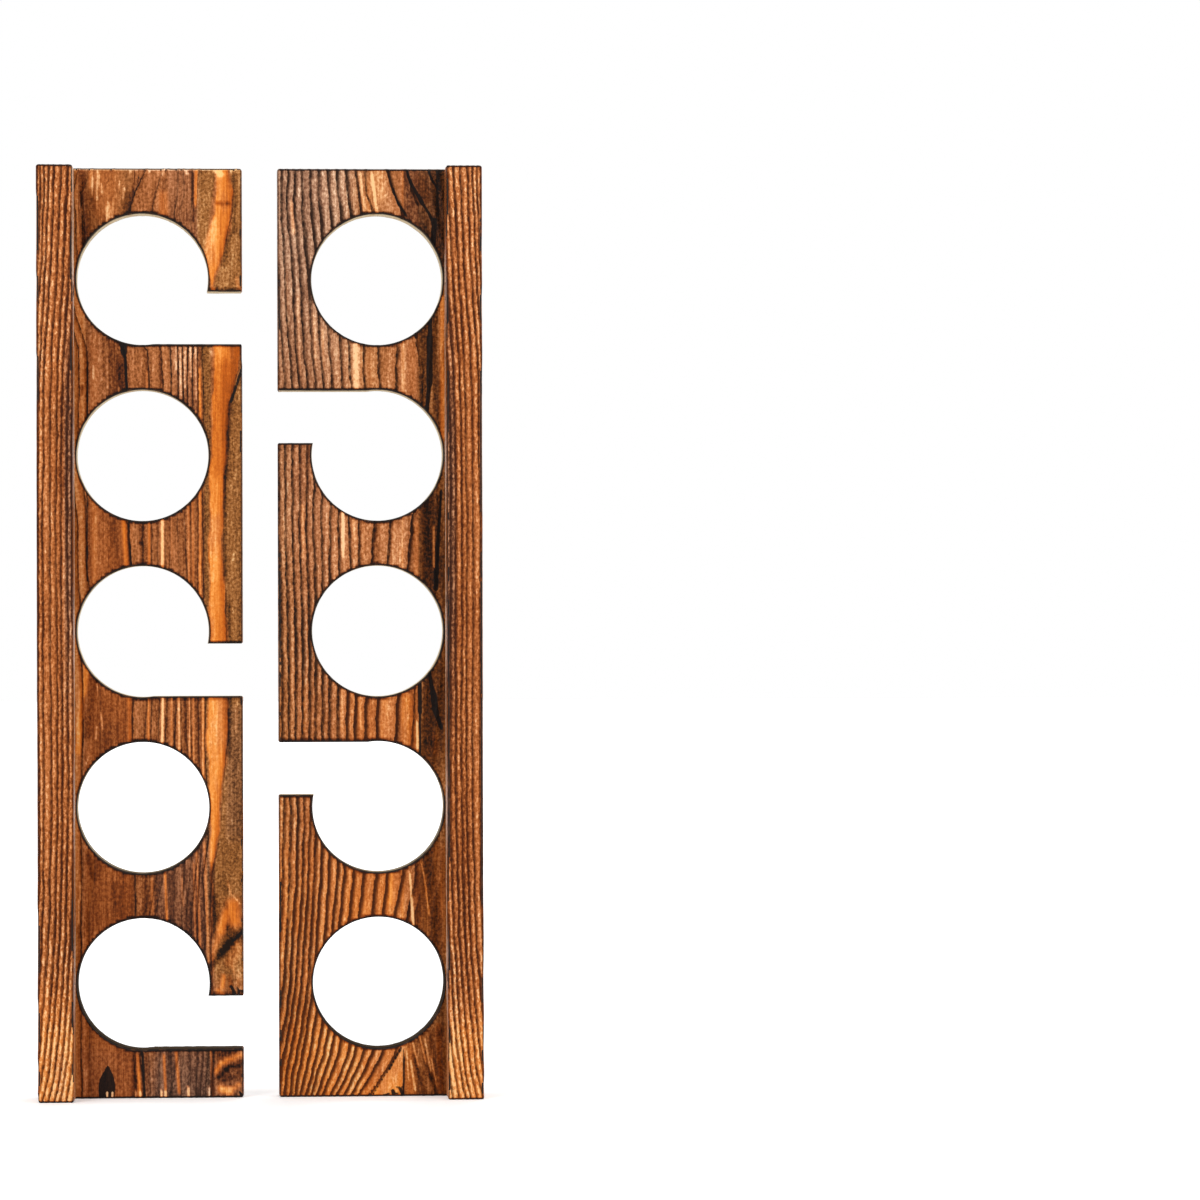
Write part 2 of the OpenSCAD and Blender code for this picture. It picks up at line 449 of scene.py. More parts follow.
def numbered(first, lines, boldness, front_gap, front_bold):
    """Place and boldness of every numbered line, with even rings added at both ends of the list."""
    back, front = list(lines), []
    for step in range(PADDING):
        back.append(back[-1] - BACK_GAP - BACK_UNEVEN * math.sin(2.3 * step))
        front.insert(0, (front[0] if front else lines[0]) + front_gap)
    listed = [int(digit) for digit in boldness]
    weights = [front_bold] * PADDING + listed + [BACK_BOLD] * PADDING
    numbers = PADDING - first - np.arange(len(weights))
    return (np.interp(LINE_NUMBERS, numbers[::-1], (front + back)[::-1]),
            np.interp(LINE_NUMBERS, numbers[::-1], weights[::-1]) / BOLDEST)


def rings_between(reach, z, sections, front_gap, front_bold):
    """Ring count, ring width and boldness of the line that ends the ring, at every point.

    A section is a height, the number of its first line, its dark lines from the front to the wall
    in mm, and the boldness of each from 0 to 9. Between two sections a line runs straight.
    """
    rows = sorted(sections, key=lambda section: section[0])
    heights = np.array([row[0] for row in rows])
    tables = zip(*(numbered(*row[1:], front_gap, front_bold) for row in rows))
    lower = np.clip(np.searchsorted(heights, z) - 1, 0, len(heights) - 2)
    share = rise(z, heights[lower], heights[lower + 1])[:, None]
    lines, bold = ((1 - share) * table[lower] + share * table[lower + 1]
                   for table in map(np.array, tables))
    ring = np.clip((lines <= reach[:, None]).sum(axis=1) - 1, 0, len(LINE_NUMBERS) - 2)
    spot = np.arange(len(z))
    start, width = lines[spot, ring], lines[spot, ring + 1] - lines[spot, ring]
    part = np.clip((reach - start) / width, 0, 1)
    bold = (1 - part) * bold[spot, ring] + part * bold[spot, ring + 1]
    return LINE_NUMBERS[ring] + part, width, bold


LIST_MIDDLE_Z = 225
LIST_SHIFT = 0.1
LIST_SHRINK = 0.006
INNER_DEPTH = 9


def listed_place(reach, z, width, lean):
    """A point's place in the lists' own millimetres, which lean a little against the board."""
    return reach - lean * (z - LIST_MIDDLE_Z) - LIST_SHIFT - LIST_SHRINK * (width - reach)


FAR = 4.0
BLACK = -0.55
BLACK_SHARE = 0.88
CHIP = 0.28
CHIP_SHARE = 0.6
WIDEST_CHIP = 0.9
AREA_SOFT_U = 3
AREA_SOFT_Z = 6


def between(z, outline):
    """Lower and upper limit at height z of a band given as (height, lower, upper) points."""
    heights, lower, upper = np.array(sorted(outline)).T
    return np.interp(z, heights, lower), np.interp(z, heights, upper)


def band(u, z, outline, soft):
    """1 inside a band and 0 outside it, over a soft edge."""
    lower, upper = between(z, outline)
    inside = np.minimum(u - lower, upper - u)
    return np.clip(inside / soft + 0.5, 0, 1)


def blob(u, z, centre, size):
    """A soft round hill, 1 at its centre."""
    return np.exp(-((u - centre[0]) / size[0]) ** 2 - ((z - centre[1]) / size[1]) ** 2)


def strokes(u, z, rows):
    """Lightness and gold left by short strokes, and how deep inside a burnt or pale one a point is.

    A row is one end of the stroke (u, z), its other end, its half width, how much lighter (or
    darker, below 0) it is, and how golden. The darkest ones burn the wood black, and the narrow
    light ones are crisp chips of pale wood.
    """
    light, gold = np.zeros(len(u)), np.zeros(len(u))
    burnt, pale = np.full(len(u), -FAR), np.full(len(u), -FAR)
    for u0, z0, u1, z1, half, lighter, golden in rows:
        run_u, run_z = u1 - u0, z1 - z0
        share = np.clip(((u - u0) * run_u + (z - z0) * run_z) / (run_u ** 2 + run_z ** 2), 0, 1)
        away = np.hypot(u - u0 - share * run_u, z - z0 - share * run_z)
        if lighter <= BLACK:
            burnt = np.maximum(burnt, BLACK_SHARE * half - away)
            continue
        mark = np.exp(-((away / half) ** 3))
        chip = lighter >= CHIP and half < WIDEST_CHIP
        if chip:
            pale = np.maximum(pale, half - away)
        light += lighter * mark * (CHIP_SHARE if chip else 1)
        gold = np.maximum(gold, golden * mark)
    return light, gold, burnt, pale


def touched(u, z, rows):
    """How much lighter, more golden and greyer a point is, summed over soft-edged areas.

    A row is the area's range of u, its range of z, and the three changes inside it.
    """
    total = np.zeros((3, len(u)))
    for u0, u1, z0, z1, *changes in rows:
        share = band(u, z, [(z0, u0, u1), (z1, u0, u1)], AREA_SOFT_U)
        share = share * np.clip(np.minimum(z - z0, z1 - z) / AREA_SOFT_Z + 0.5, 0, 1)
        total += np.outer(changes, share)
    return total


def inside_by(u, z, outline):
    """How many mm a point lies inside a band, negative outside it."""
    lower, upper = between(z, outline)
    return np.clip(np.minimum(u - lower, upper - u), -FAR, FAR)


# %% [markdown]
# The handle board's rings are wide near the wall and close in the middle. Near the front edge a
# broad pale ring lies almost flat in the face, so that it shows as a bright flame, and below it
# the rings curl round two small knots at the edge. The lines are listed at seventeen heights and
# blended between them. The first of each list is the dark line in front of the flame. Many of
# the places in this table and in those of the other boards are what scratch scripts printed when
# they looked for dips of brightness in the photograph, and the digits follow how deep the dips
# are.

# %% Grain of the handle board
HANDLE_SECTIONS = [
    (450, 0, [94.3, 76.5, 73.2, 69.0, 66.8, 61.8, 59.6, 51.6, 35.5, 25, 18.5], "65434225125"),
    (438, 0, [93.8, 75.9, 73.9, 69.6, 66.2, 59.8, 55.9, 46.0, 30.5, 20.4], "6463336715"),
    (428, 0, [93.2, 75.4, 73.0, 67.5, 65.2, 60.7, 54.4, 43.0, 30.8, 21.0], "6333626616"),
    (394, 0, [86.0, 77.0, 74.6, 71.6, 68.4, 65.5, 61.5, 54.8, 42.6, 22.3], "3544444555"),
    (362, 0, [99.5, 78.6, 76.4, 74.3, 71.9, 69.1, 67.0, 63.6, 58.8, 52.1, 40.8, 22.5], "467888875698"),
    (344, 0, [94.2, 78.8, 76.4, 73.5, 71.1, 69.1, 66.7, 63.3, 59.4, 52.6, 41.8, 22.9], "566677666698"),
    (318, 0, [91.3, 78.9, 76.6, 73.7, 71.2, 69.0, 66.6, 63.4, 60.0, 54.0, 42.2, 22.6], "544444455688"),
    (277, 0, [89.0, 78.6, 76.3, 72.5, 69.5, 66.1, 62.7, 60.3, 57.0, 53.9, 49.6, 42.7, 22.5],
     "6644332334698"),
    (259, 0, [89.8, 78.8, 76.3, 73.0, 71.0, 67.2, 62.7, 60.7, 57.0, 53.9, 49.7, 43.8, 22.5],
     "6642523334598"),
    (192, 0, [91.3, 80.2, 76.7, 73.0, 70.5, 68.2, 66.0, 61.4, 57.8, 54.0, 51.9, 45.2, 29, 20.8],
     "65444444444837"),
    (174, 0, [91.6, 79.7, 76.9, 73.0, 70.9, 68.2, 65.2, 60.6, 57.3, 53.5, 50.6, 44.8, 29, 20.4],
     "66455465445837"),
    (152, 0, [88.5, 80.5, 77.3, 74.6, 72.0, 69.4, 66.0, 61.0, 58.0, 54.0, 50.6, 45.1, 28, 20.0],
     "65444444444635"),
    (125, 0, [87.4, 81.6, 78.4, 77.0, 74.2, 71.0, 68.0, 62.0, 59.0, 54.2, 51.5, 45.5, 27, 19.8],
     "66444444444535"),
    (107, 0, [83.1, 78.8, 77.3, 75.3, 72.3, 69.5, 65.0, 61.7, 59.3, 56.0, 52.9, 45.8, 26, 20.0],
     "75554433333534"),
    (89, 0, [82.5, 79.7, 75.8, 72.9, 70.4, 68.2, 64.6, 60.4, 55.5, 53.0, 50.7, 46.2, 24, 19.9],
     "65544433333536"),
    (20, 0, [84.6, 81.3, 78.8, 76.3, 72.8, 69.0, 66.9, 62.2, 58.3, 52.8, 48.6, 46.2, 24.1],
     "5443334333653"),
    (4, 0, [83.2, 80.3, 77.8, 75.6, 73.0, 68.4, 63.7, 61.8, 57.8, 53.6, 50.2, 47.0, 24.5],
     "7443333333763"),
]
HANDLE_FLAME = [
    (452, 86, 91.2), (446, 85.3, 91.8), (438, 85, 93), (428, 84.8, 92.6), (420, 82.2, 92),
    (411, 79.6, 88.4), (403, 80, 86.6), (397, 83, 84.6), (393, 83.4, 83.6), (377, 84, 98),
    (366, 84.6, 97.2), (352, 84.4, 96), (345, 84, 93.5), (337, 83.6, 92), (320, 83.4, 90.6),
    (305, 82.6, 89.6), (280, 82.4, 88.2), (262, 82, 88.2), (250, 82.4, 89), (225, 82.4, 90.4),
    (190, 81.4, 90.6), (176, 80.9, 91.2), (168, 81.4, 90.4), (152, 82.2, 88), (135, 82.6, 87),
    (118, 82.2, 85), (112, 82.8, 83.8), (108, 83.2, 83.4),
]
BURNT_DROP = [
    (17.6, 33.9, 31.9), (16, 32.4, 33.4), (14, 31.5, 34.1), (11.5, 29.9, 35.3), (9, 28.7, 36.2),
    (6, 28.3, 36.6), (3, 28.5, 36.4), (-1, 28.7, 36),
]
HANDLE_AREAS = [
    (18, 50, 400, 453, -0.07, 0, 0), (52, 78, 405, 453, 0.07, 0, 0), (91, 99, 380, 440, -0.05, 0, 0),
    (50, 78, 328, 368, -0.05, 0, 0), (83, 95, 300, 357, -0.16, 0, 0), (18, 46, 160, 205, -0.06, 0, 0),
    (90, 99, 125, 190, -0.12, 0, 0.25), (18, 44, 80, 120, -0.06, 0, 0), (84, 99, 96, 125, -0.05, 0, 0),
    (84, 99, 74, 96, -0.12, 0.1, 0), (18, 50, -4, 24, 0, 0, 0.25), (50, 84, -4, 22, 0.06, 0, 0.2),
    (85, 99, -4, 22, -0.13, 0, 0), (50, 80, 245, 290, 0.03, 0, 0),
]
HANDLE_STROKES = [
    # from the top end down to the first mouth
    (19.6, 439, 21, 411, 0.42, -0.6, 0), (25, 437, 22.8, 414, 2.7, -0.22, 0.15),
    (24.6, 449, 24.4, 441, 1.3, 0.2, 0.4), (20.4, 449, 20.8, 436, 1.5, -0.14, 0.1),
    (32, 452, 31, 430, 7, 0.06, 0.3), (25.5, 446, 25.2, 437, 0.5, 0.3, 0.2),
    (28.4, 447, 28.6, 441, 0.5, 0.35, 0.2), (29.6, 443, 29.8, 438, 0.4, 0.3, 0),
    (32, 431, 32.6, 424, 0.5, 0.35, 0.1), (34.4, 431, 34.6, 426, 0.45, 0.3, 0),
    (38.5, 444, 38.3, 441, 0.4, 0.35, 0), (27.2, 439, 27.6, 431, 0.5, 0.25, 0.2),
    (46, 449, 45.4, 438, 0.4, -0.4, 0), (48, 446.5, 43.6, 428.6, 0.45, -0.6, 0),
    (27.8, 449, 27.5, 434, 0.6, 0.35, 0.1), (33, 434, 33.6, 424, 0.6, 0.28, 0),
    (35.4, 434, 35.3, 429, 0.5, 0.25, 0), (40.8, 441, 40.3, 435, 0.5, 0.3, 0),
    (30.5, 441, 30.4, 436, 0.4, 0.2, 0), (43, 436, 40.5, 427, 2.6, -0.26, 0),
    (59.5, 437, 60, 428, 2.2, 0.1, 0.5), (75.7, 449, 75.4, 432, 0.7, 0.16, 0.95),
    (74.4, 448, 74.2, 424, 0.6, -0.35, 0), (94.6, 447, 94.4, 420, 1.4, -0.34, 0),
    (92.4, 419, 89, 404, 1.8, -0.3, 0), (86, 433, 88, 433.2, 1, -0.5, 0),
    (90.2, 433.4, 91.8, 432.6, 0.9, -0.5, 0), (87.6, 430, 87.6, 418, 0.4, -0.22, 0),
    (84, 413, 84.1, 403, 0.4, -0.3, 0), (83.5, 424, 84.5, 404, 2.2, 0.16, 0),
    (95.6, 396, 96.6, 391, 1, 0.15, 0.35), (57.5, 448, 58.5, 446, 1, 0.3, 0),
    (85, 449, 88, 447, 1.4, 0.6, 0.2), (59.6, 449, 59.6, 446.5, 0.7, 0.5, 0),
    (70.6, 449, 71.4, 447.4, 0.8, 0.5, 0), (44, 449, 43.6, 447.6, 0.6, 0.4, 0),
    (53, 449, 52.8, 447.8, 0.6, 0.4, 0), (92.6, 449, 92.8, 447.8, 0.6, 0.4, 0),
    # from the first mouth down to the second hole
    (32, 366, 32.8, 343, 0.5, 0.26, 0), (34, 355, 34.6, 345, 0.45, 0.22, 0),
    (25.7, 354, 25.9, 348, 0.6, 0.3, 0.1), (38.2, 345, 38, 340, 0.5, 0.3, 0),
    (36.8, 365, 37.3, 361, 0.4, 0.25, 0), (26, 368, 26.4, 300, 2.6, 0.06, 0.22),
    (36, 366, 36.5, 342, 4.2, -0.16, 0), (39.2, 354, 39.9, 341, 2, -0.24, 0),
    (40.4, 366, 40.6, 361, 1.9, -0.9, 0), (41.2, 360, 42.1, 342, 0.8, -0.8, 0),
    (23, 357, 22.9, 312, 0.42, -0.7, 0), (51.8, 351, 52, 343, 0.5, 0.2, 0.4),
    (77.2, 353, 77.6, 330, 0.8, 0.2, 1), (68.2, 363, 68.2, 340, 0.6, 0.36, 0),
    (66, 364, 65.8, 352, 0.5, 0.3, 0), (70.7, 363, 70.4, 344, 0.55, 0.34, 0),
    (73, 363, 73.2, 349, 0.55, 0.38, 0), (75.5, 363, 75.7, 338, 0.5, 0.36, 0),
    (98, 353, 92.6, 337, 0.8, -0.6, 0), (93.4, 349, 92.2, 343, 0.6, 0.18, 0.2),
    (91, 367, 96, 362, 4, -0.2, 0), (90, 356, 87, 322, 4, -0.08, 0), (95, 357, 92, 342, 1.6, -0.14, 0),
    (91.6, 337, 90.2, 300, 1, -0.3, 0), (46.6, 347, 49.4, 342.5, 0.5, -0.3, 0),
    (20.7, 344, 20.4, 341, 0.6, -0.5, 0), (82.4, 361.6, 83.4, 360, 0.7, 0.4, 0),
    (30, 330, 30, 300, 3, -0.1, 0),
    # from the second hole down to the third
    (40.6, 281, 42.2, 254, 1.6, 0.15, 1), (42.9, 282, 43.5, 268, 0.42, -0.9, 0),
    (43.5, 268, 44.3, 256, 0.55, -0.9, 0), (22.9, 294, 22.8, 250, 0.5, -0.8, 0),
    (26, 292, 26.6, 248, 2.2, 0.1, 0.5), (26.9, 281, 26.8, 250, 0.9, 0.12, 0.35),
    (52.9, 281, 52.9, 258, 0.6, 0.1, 0.8), (59.2, 282, 59.4, 250, 0.7, 0.55, 0.7),
    (63.8, 282, 63.8, 262, 0.45, 0.2, 0.2), (72, 300, 72.3, 240, 0.55, 0.12, 0.5),
    (74, 300, 74.3, 240, 0.55, 0.12, 0.5), (77.7, 310, 77.6, 235, 0.75, 0.15, 0.85),
    (89.8, 300, 89.8, 252, 1, -0.36, 0), (50, 278, 49.8, 272, 0.4, -0.3, 0),
    (48.6, 269, 49.6, 269, 0.8, -0.4, 0), (79.8, 290, 79.9, 250, 0.8, -0.12, 0),
    (36, 281, 34, 250, 3, -0.08, 0), (94, 264, 93.6, 260, 0.5, 0.3, 0), (91.8, 240, 92, 220, 1, -0.3, 0),
    (85.5, 285, 85.6, 250, 1.2, 0.1, 0),
    # from the second mouth down to the fourth hole
    (22.6, 209, 21.2, 196, 1.9, 0.12, 1), (20.6, 196, 18.6, 168, 1.4, 0.06, 0.95),
    (25.6, 205, 23.4, 176, 2.4, -0.26, 0), (27.6, 200.6, 28.1, 194, 0.4, 0.28, 0.1),
    (30.2, 199, 31.6, 194.5, 0.4, 0.24, 0), (29.3, 187.5, 30.4, 178.5, 0.5, 0.35, 0.1),
    (27.6, 180.5, 27, 173.5, 0.5, 0.3, 0.1), (24, 166, 21.8, 161, 0.45, 0.28, 0.1),
    (43.2, 194, 43.9, 168, 1.3, 0.15, 0.85), (52.6, 194, 52.5, 168, 0.6, 0.24, 0.75),
    (59.5, 194, 59.2, 168, 0.62, 0.6, 0.6), (63.7, 194, 63.7, 165, 0.45, 0.22, 0.5),
    (67.3, 194, 67.6, 158, 0.6, 0.4, 0.5), (72.4, 194, 72.7, 155, 0.45, 0.3, 0.5),
    (74.2, 194, 74.5, 152, 0.5, 0.18, 0.5), (79, 194, 79.2, 148, 0.55, 0.3, 0.7),
    (61.6, 194, 61.6, 166, 1.2, -0.16, 0), (65.5, 194, 65.5, 164, 0.9, -0.16, 0),
    (69.8, 194, 69.8, 160, 1, -0.14, 0), (92, 205, 91.8, 166, 1, -0.42, 0),
    (56, 194, 56, 170, 1.4, -0.08, 0), (86, 193, 85.6, 176, 2, 0.08, 0),
    (95.5, 192, 95, 178, 0.7, 0.18, 0.1),
    # from the fourth hole down to the fifth
    (23.5, 118, 25.5, 107, 1.4, -0.35, 0), (60.6, 109, 61.8, 78, 0.6, 0.2, 0.85),
    (54.2, 106, 54.7, 90, 0.5, 0.2, 0.35), (74.5, 113, 75.3, 78, 0.5, 0.18, 0.45),
    (76, 119, 77.6, 70, 0.65, 0.22, 0.5), (79.7, 123, 81.7, 66, 0.75, 0.22, 0.5),
    (68.8, 107, 69.2, 94, 0.5, 0.2, 0.3), (83.4, 112, 84.2, 79, 1.5, -0.42, 0),
    (58, 107, 58, 80, 1.8, -0.2, 0), (64, 108, 64, 80, 2.1, -0.22, 0), (71, 112, 72, 78, 2, -0.14, 0),
    (19.4, 105, 19.6, 96, 0.5, 0.28, 0), (46, 110, 46.3, 70, 0.3, -0.6, 0),
    (50.5, 109, 50.8, 78, 1.8, -0.12, 0), (18.8, 96, 18.6, 84, 0.45, 0.33, 0.1),
    (35.5, 103, 38, 90, 2.4, -0.12, 0), (78.7, 112, 79.4, 75, 0.8, -0.12, 0),
    # round the two knots of the front edge
    (93.6, 93, 94.4, 86, 3.6, 0, 1), (95, 93, 96.5, 86, 1.4, -0.1, 0.6),
    (90.6, 90, 87.4, 80, 2.1, 0.1, 1), (87, 79, 84.6, 72, 1.2, 0.06, 0.8),
    (84.4, 73, 83.4, 68, 1.3, 0.05, 0.7), (88.6, 88, 84.2, 76, 0.7, 0.16, 0.3),
    (91, 104, 92.5, 99, 0.5, 0.22, 0.3), (93.4, 98, 97, 94, 0.45, 0.3, 0.1),
    (91, 83, 92, 79, 1.3, -0.3, 0), (98.6, 80.6, 95.2, 77.4, 1.2, -0.8, 0),
    (95.2, 77.4, 93, 75.4, 0.8, -0.8, 0), (93, 75.4, 88.4, 71, 1.2, -0.36, 0),
    (98, 80.4, 92, 74.5, 2.8, -0.4, 0), (92, 74.5, 87.6, 69.6, 2.1, -0.46, 0),
    (87.8, 70, 83.4, 64, 1.6, -0.5, 0), (96, 72, 92, 66, 3, 0.04, 0.3),
    (97, 75.5, 93, 73, 0.6, 0.25, 0.4), (84.5, 98, 85.6, 86, 1.5, -0.28, 0),
    (89, 58.5, 88.3, 53, 1.1, 0.1, 1), (86.4, 51.5, 88.6, 50.6, 1.2, 0.02, 0.9),
    (92, 58, 92.4, 54, 1, -0.3, 0.4), (92.6, 53.8, 94.4, 51, 0.9, -0.7, 0),
    (98, 51.2, 94, 50.8, 1.1, -0.7, 0), (95.4, 53.6, 96.4, 51.8, 0.6, -0.7, 0),
    (96.8, 55, 93.6, 58, 0.7, -0.4, 0), (93.4, 64, 94, 61, 0.6, 0.2, 0.4),
    (96.4, 61, 95.8, 55, 0.5, 0.25, 0.3),
    # below the third mouth
    (47.3, 21, 48.4, 1, 0.9, 0.15, 0.95), (46, 22, 46, 1, 0.6, -0.3, 0),
    (49.6, 22, 50.7, 1, 0.7, -0.6, 0), (60, 21, 61, 1, 0.65, 0.12, 0.75),
    (66, 22, 67.4, 3, 0.75, 0.15, 0.75), (63, 22, 63.5, 1, 1.7, -0.2, 0),
    (84, 23, 83.9, 1, 0.8, -0.42, 0), (85.2, 12.6, 87.8, 16.6, 1.1, 0.16, 1),
    (87.8, 16.8, 97, 20.6, 1.3, 0.24, 1), (86, 9.6, 90.6, 14, 1, -0.5, 0),
    (90.6, 14, 98, 16.4, 1.2, -0.5, 0), (89, 8.6, 97, 11.4, 0.9, -0.3, 0),
    (87.8, 4.4, 92, 2.8, 1.9, 0.5, 1), (92, 4.2, 96.4, 6, 1.1, 0.34, 0.8),
    (96.8, 2.4, 97.8, 1, 0.9, -0.6, 0), (87, 21, 97, 24, 1.3, -0.4, 0),
    (46.4, 4, 46.4, 0.8, 0.55, 1, 0.3), (48.6, 3.4, 48.6, 0.8, 0.5, 0.9, 0.3),
    (58.9, 4, 58.9, 0.8, 0.55, 0.8, 0.7), (60.8, 4, 60.8, 0.8, 0.55, 0.8, 0.7),
    (71.9, 5, 72, 0.8, 0.6, 0.9, 0.6), (82.1, 5.2, 82, 0.8, 0.55, 1.1, 0.2),
    (32.5, 3.4, 32.5, 0.8, 0.5, 1.2, 0.5), (35.1, 3, 35.1, 0.8, 0.5, 1.1, 0.3),
    (18.5, 1.9, 28, 1.9, 0.5, 0.25, 0.5),
]


HANDLE_LEAN = 0.0023
HANDLE_STRIP = [(425, 16, 18.4), (400, 16, 20), (370, 16, 22.2), (235, 16, 22.2), (215, 16, 20)]
HANDLE_OLIVE = [(455, 76.5, 86), (425, 76, 82), (330, 79.2, 83), (130, 80.5, 82.6)]
HANDLE_REDDER = [(300, 23, 44), (130, 22, 45), (60, 20, 46), (0, 18, 48)]


def handle_grain(u, v, z, width):
    """Ring count, width and boldness, the tints gold, light, speckle and grey, and the marks."""
    reach = listed_place(surface_reach(u, v, width), z, width, HANDLE_LEAN)
    wander = ripple(z + 0.4 * u, 3, 60, 0.16) + ripple(z - 1.5 * u, 4, 21, 0.1)
    curl = 3.5 * blob(reach, z, (97, 96), (9, 9)) - 3.5 * blob(reach, z, (99, 76), (9, 7))
    curl = curl + 3 * blob(reach, z, (96, 14), (8, 5)) - 3 * blob(reach, z, (97, 4), (8, 4))
    rings, widths, bold = rings_between(reach - wander + curl, z, HANDLE_SECTIONS, 5, 1)
    light, gold, burnt, pale = strokes(reach, z, HANDLE_STROKES)
    burnt = np.maximum(burnt, inside_by(reach, z, BURNT_DROP))
    inner = v < INNER_DEPTH

    flame_place = reach + ripple(z, 5, 31, 0.35)
    flame = band(flame_place, z, HANDLE_FLAME, 1.5)
    flame_edge = inside_by(flame_place, z, HANDLE_FLAME)
    strip = band(reach, z, HANDLE_STRIP, 0.6)
    gold = np.clip(np.maximum(gold, flame) * inner, 0, 1)
    gold = np.clip(gold + 0.4 * strip * inner, 0, 1)
    light = light * inner + 0.1 * strip
    lower, upper = between(z, HANDLE_FLAME)
    across = rise(reach, lower, np.maximum(upper, lower + 1))
    light = light + flame * (0.2 - 0.26 * across ** 2)
    light = light - 0.1 * rise(z, 125, 75) * rise(reach, 84, 80)
    light = light - 0.1 * rise(z, 30, 20) * rise(reach, 44, 48)
    right_of_flame = rise(reach - upper, 0, 1.2)
    olive = np.maximum(band(reach, z, HANDLE_OLIVE, 1), right_of_flame * rise(z, 50, 62))
    light = light - 0.03 * olive + 0.1 * olive * rise(z, 370, 400) + 0.1 * right_of_flame

    top = rise(z, 388, 412)
    lighter, golden, greyer = touched(reach, z, HANDLE_AREAS)
    light = light + lighter + 0.07 * band(reach, z, [(455, 22, 50), (425, 22, 44)], 4) * top
    light = light - 0.04 * band(reach, z, [(300, 48, 78), (100, 48, 80)], 4) * (z < 310) * (z > 60)
    speckle = np.maximum(olive, 0.6 * strip)
    speckle = np.maximum(speckle, 0.45 * band(reach, z, [(455, 22, 45), (425, 22, 44)], 4) * top)
    redder = band(reach, z, HANDLE_REDDER, 3)
    light = light - 0.07 * redder
    gold = np.clip(np.maximum(gold, 0.3 * redder * rise(z, 332, 308)) + golden, 0, 1)
    speckle = speckle * (1 - gold)
    bold = bold * (1 - 0.8 * right_of_flame)
    grey = 0.4 * rise(z, 26, 0) * rise(reach, 50, 54)
    grey = grey + 0.45 * band(reach, z, [(112, 56, 84), (80, 56, 84)], 3) * rise(z, 150, 126)
    grey = grey + 0.2 * band(reach, z, [(366, 62, 77), (338, 66, 77)], 2) * rise(z, 312, 336)
    grey = grey + greyer
    worn_edge = rise(z, 449, 449.7) * rise(reach, 84, 80)
    grey = np.clip(np.maximum(grey, worn_edge) * (1 - gold), 0, 1)
    light = light + 0.45 * worn_edge
    marks = np.where(inner, [burnt, flame_edge, pale], -FAR).T
    return rings, widths, bold, np.stack([gold, light, speckle, grey], 1), marks


# %% [markdown]
# The tip board has close, even rings with strong dark lines. They stand upright over most of its
# height and lean towards the front edge at the foot. Next to the cleat the torch stayed longer,
# which left near-black streaks. The wood turns golden towards the foot and grey towards the top.

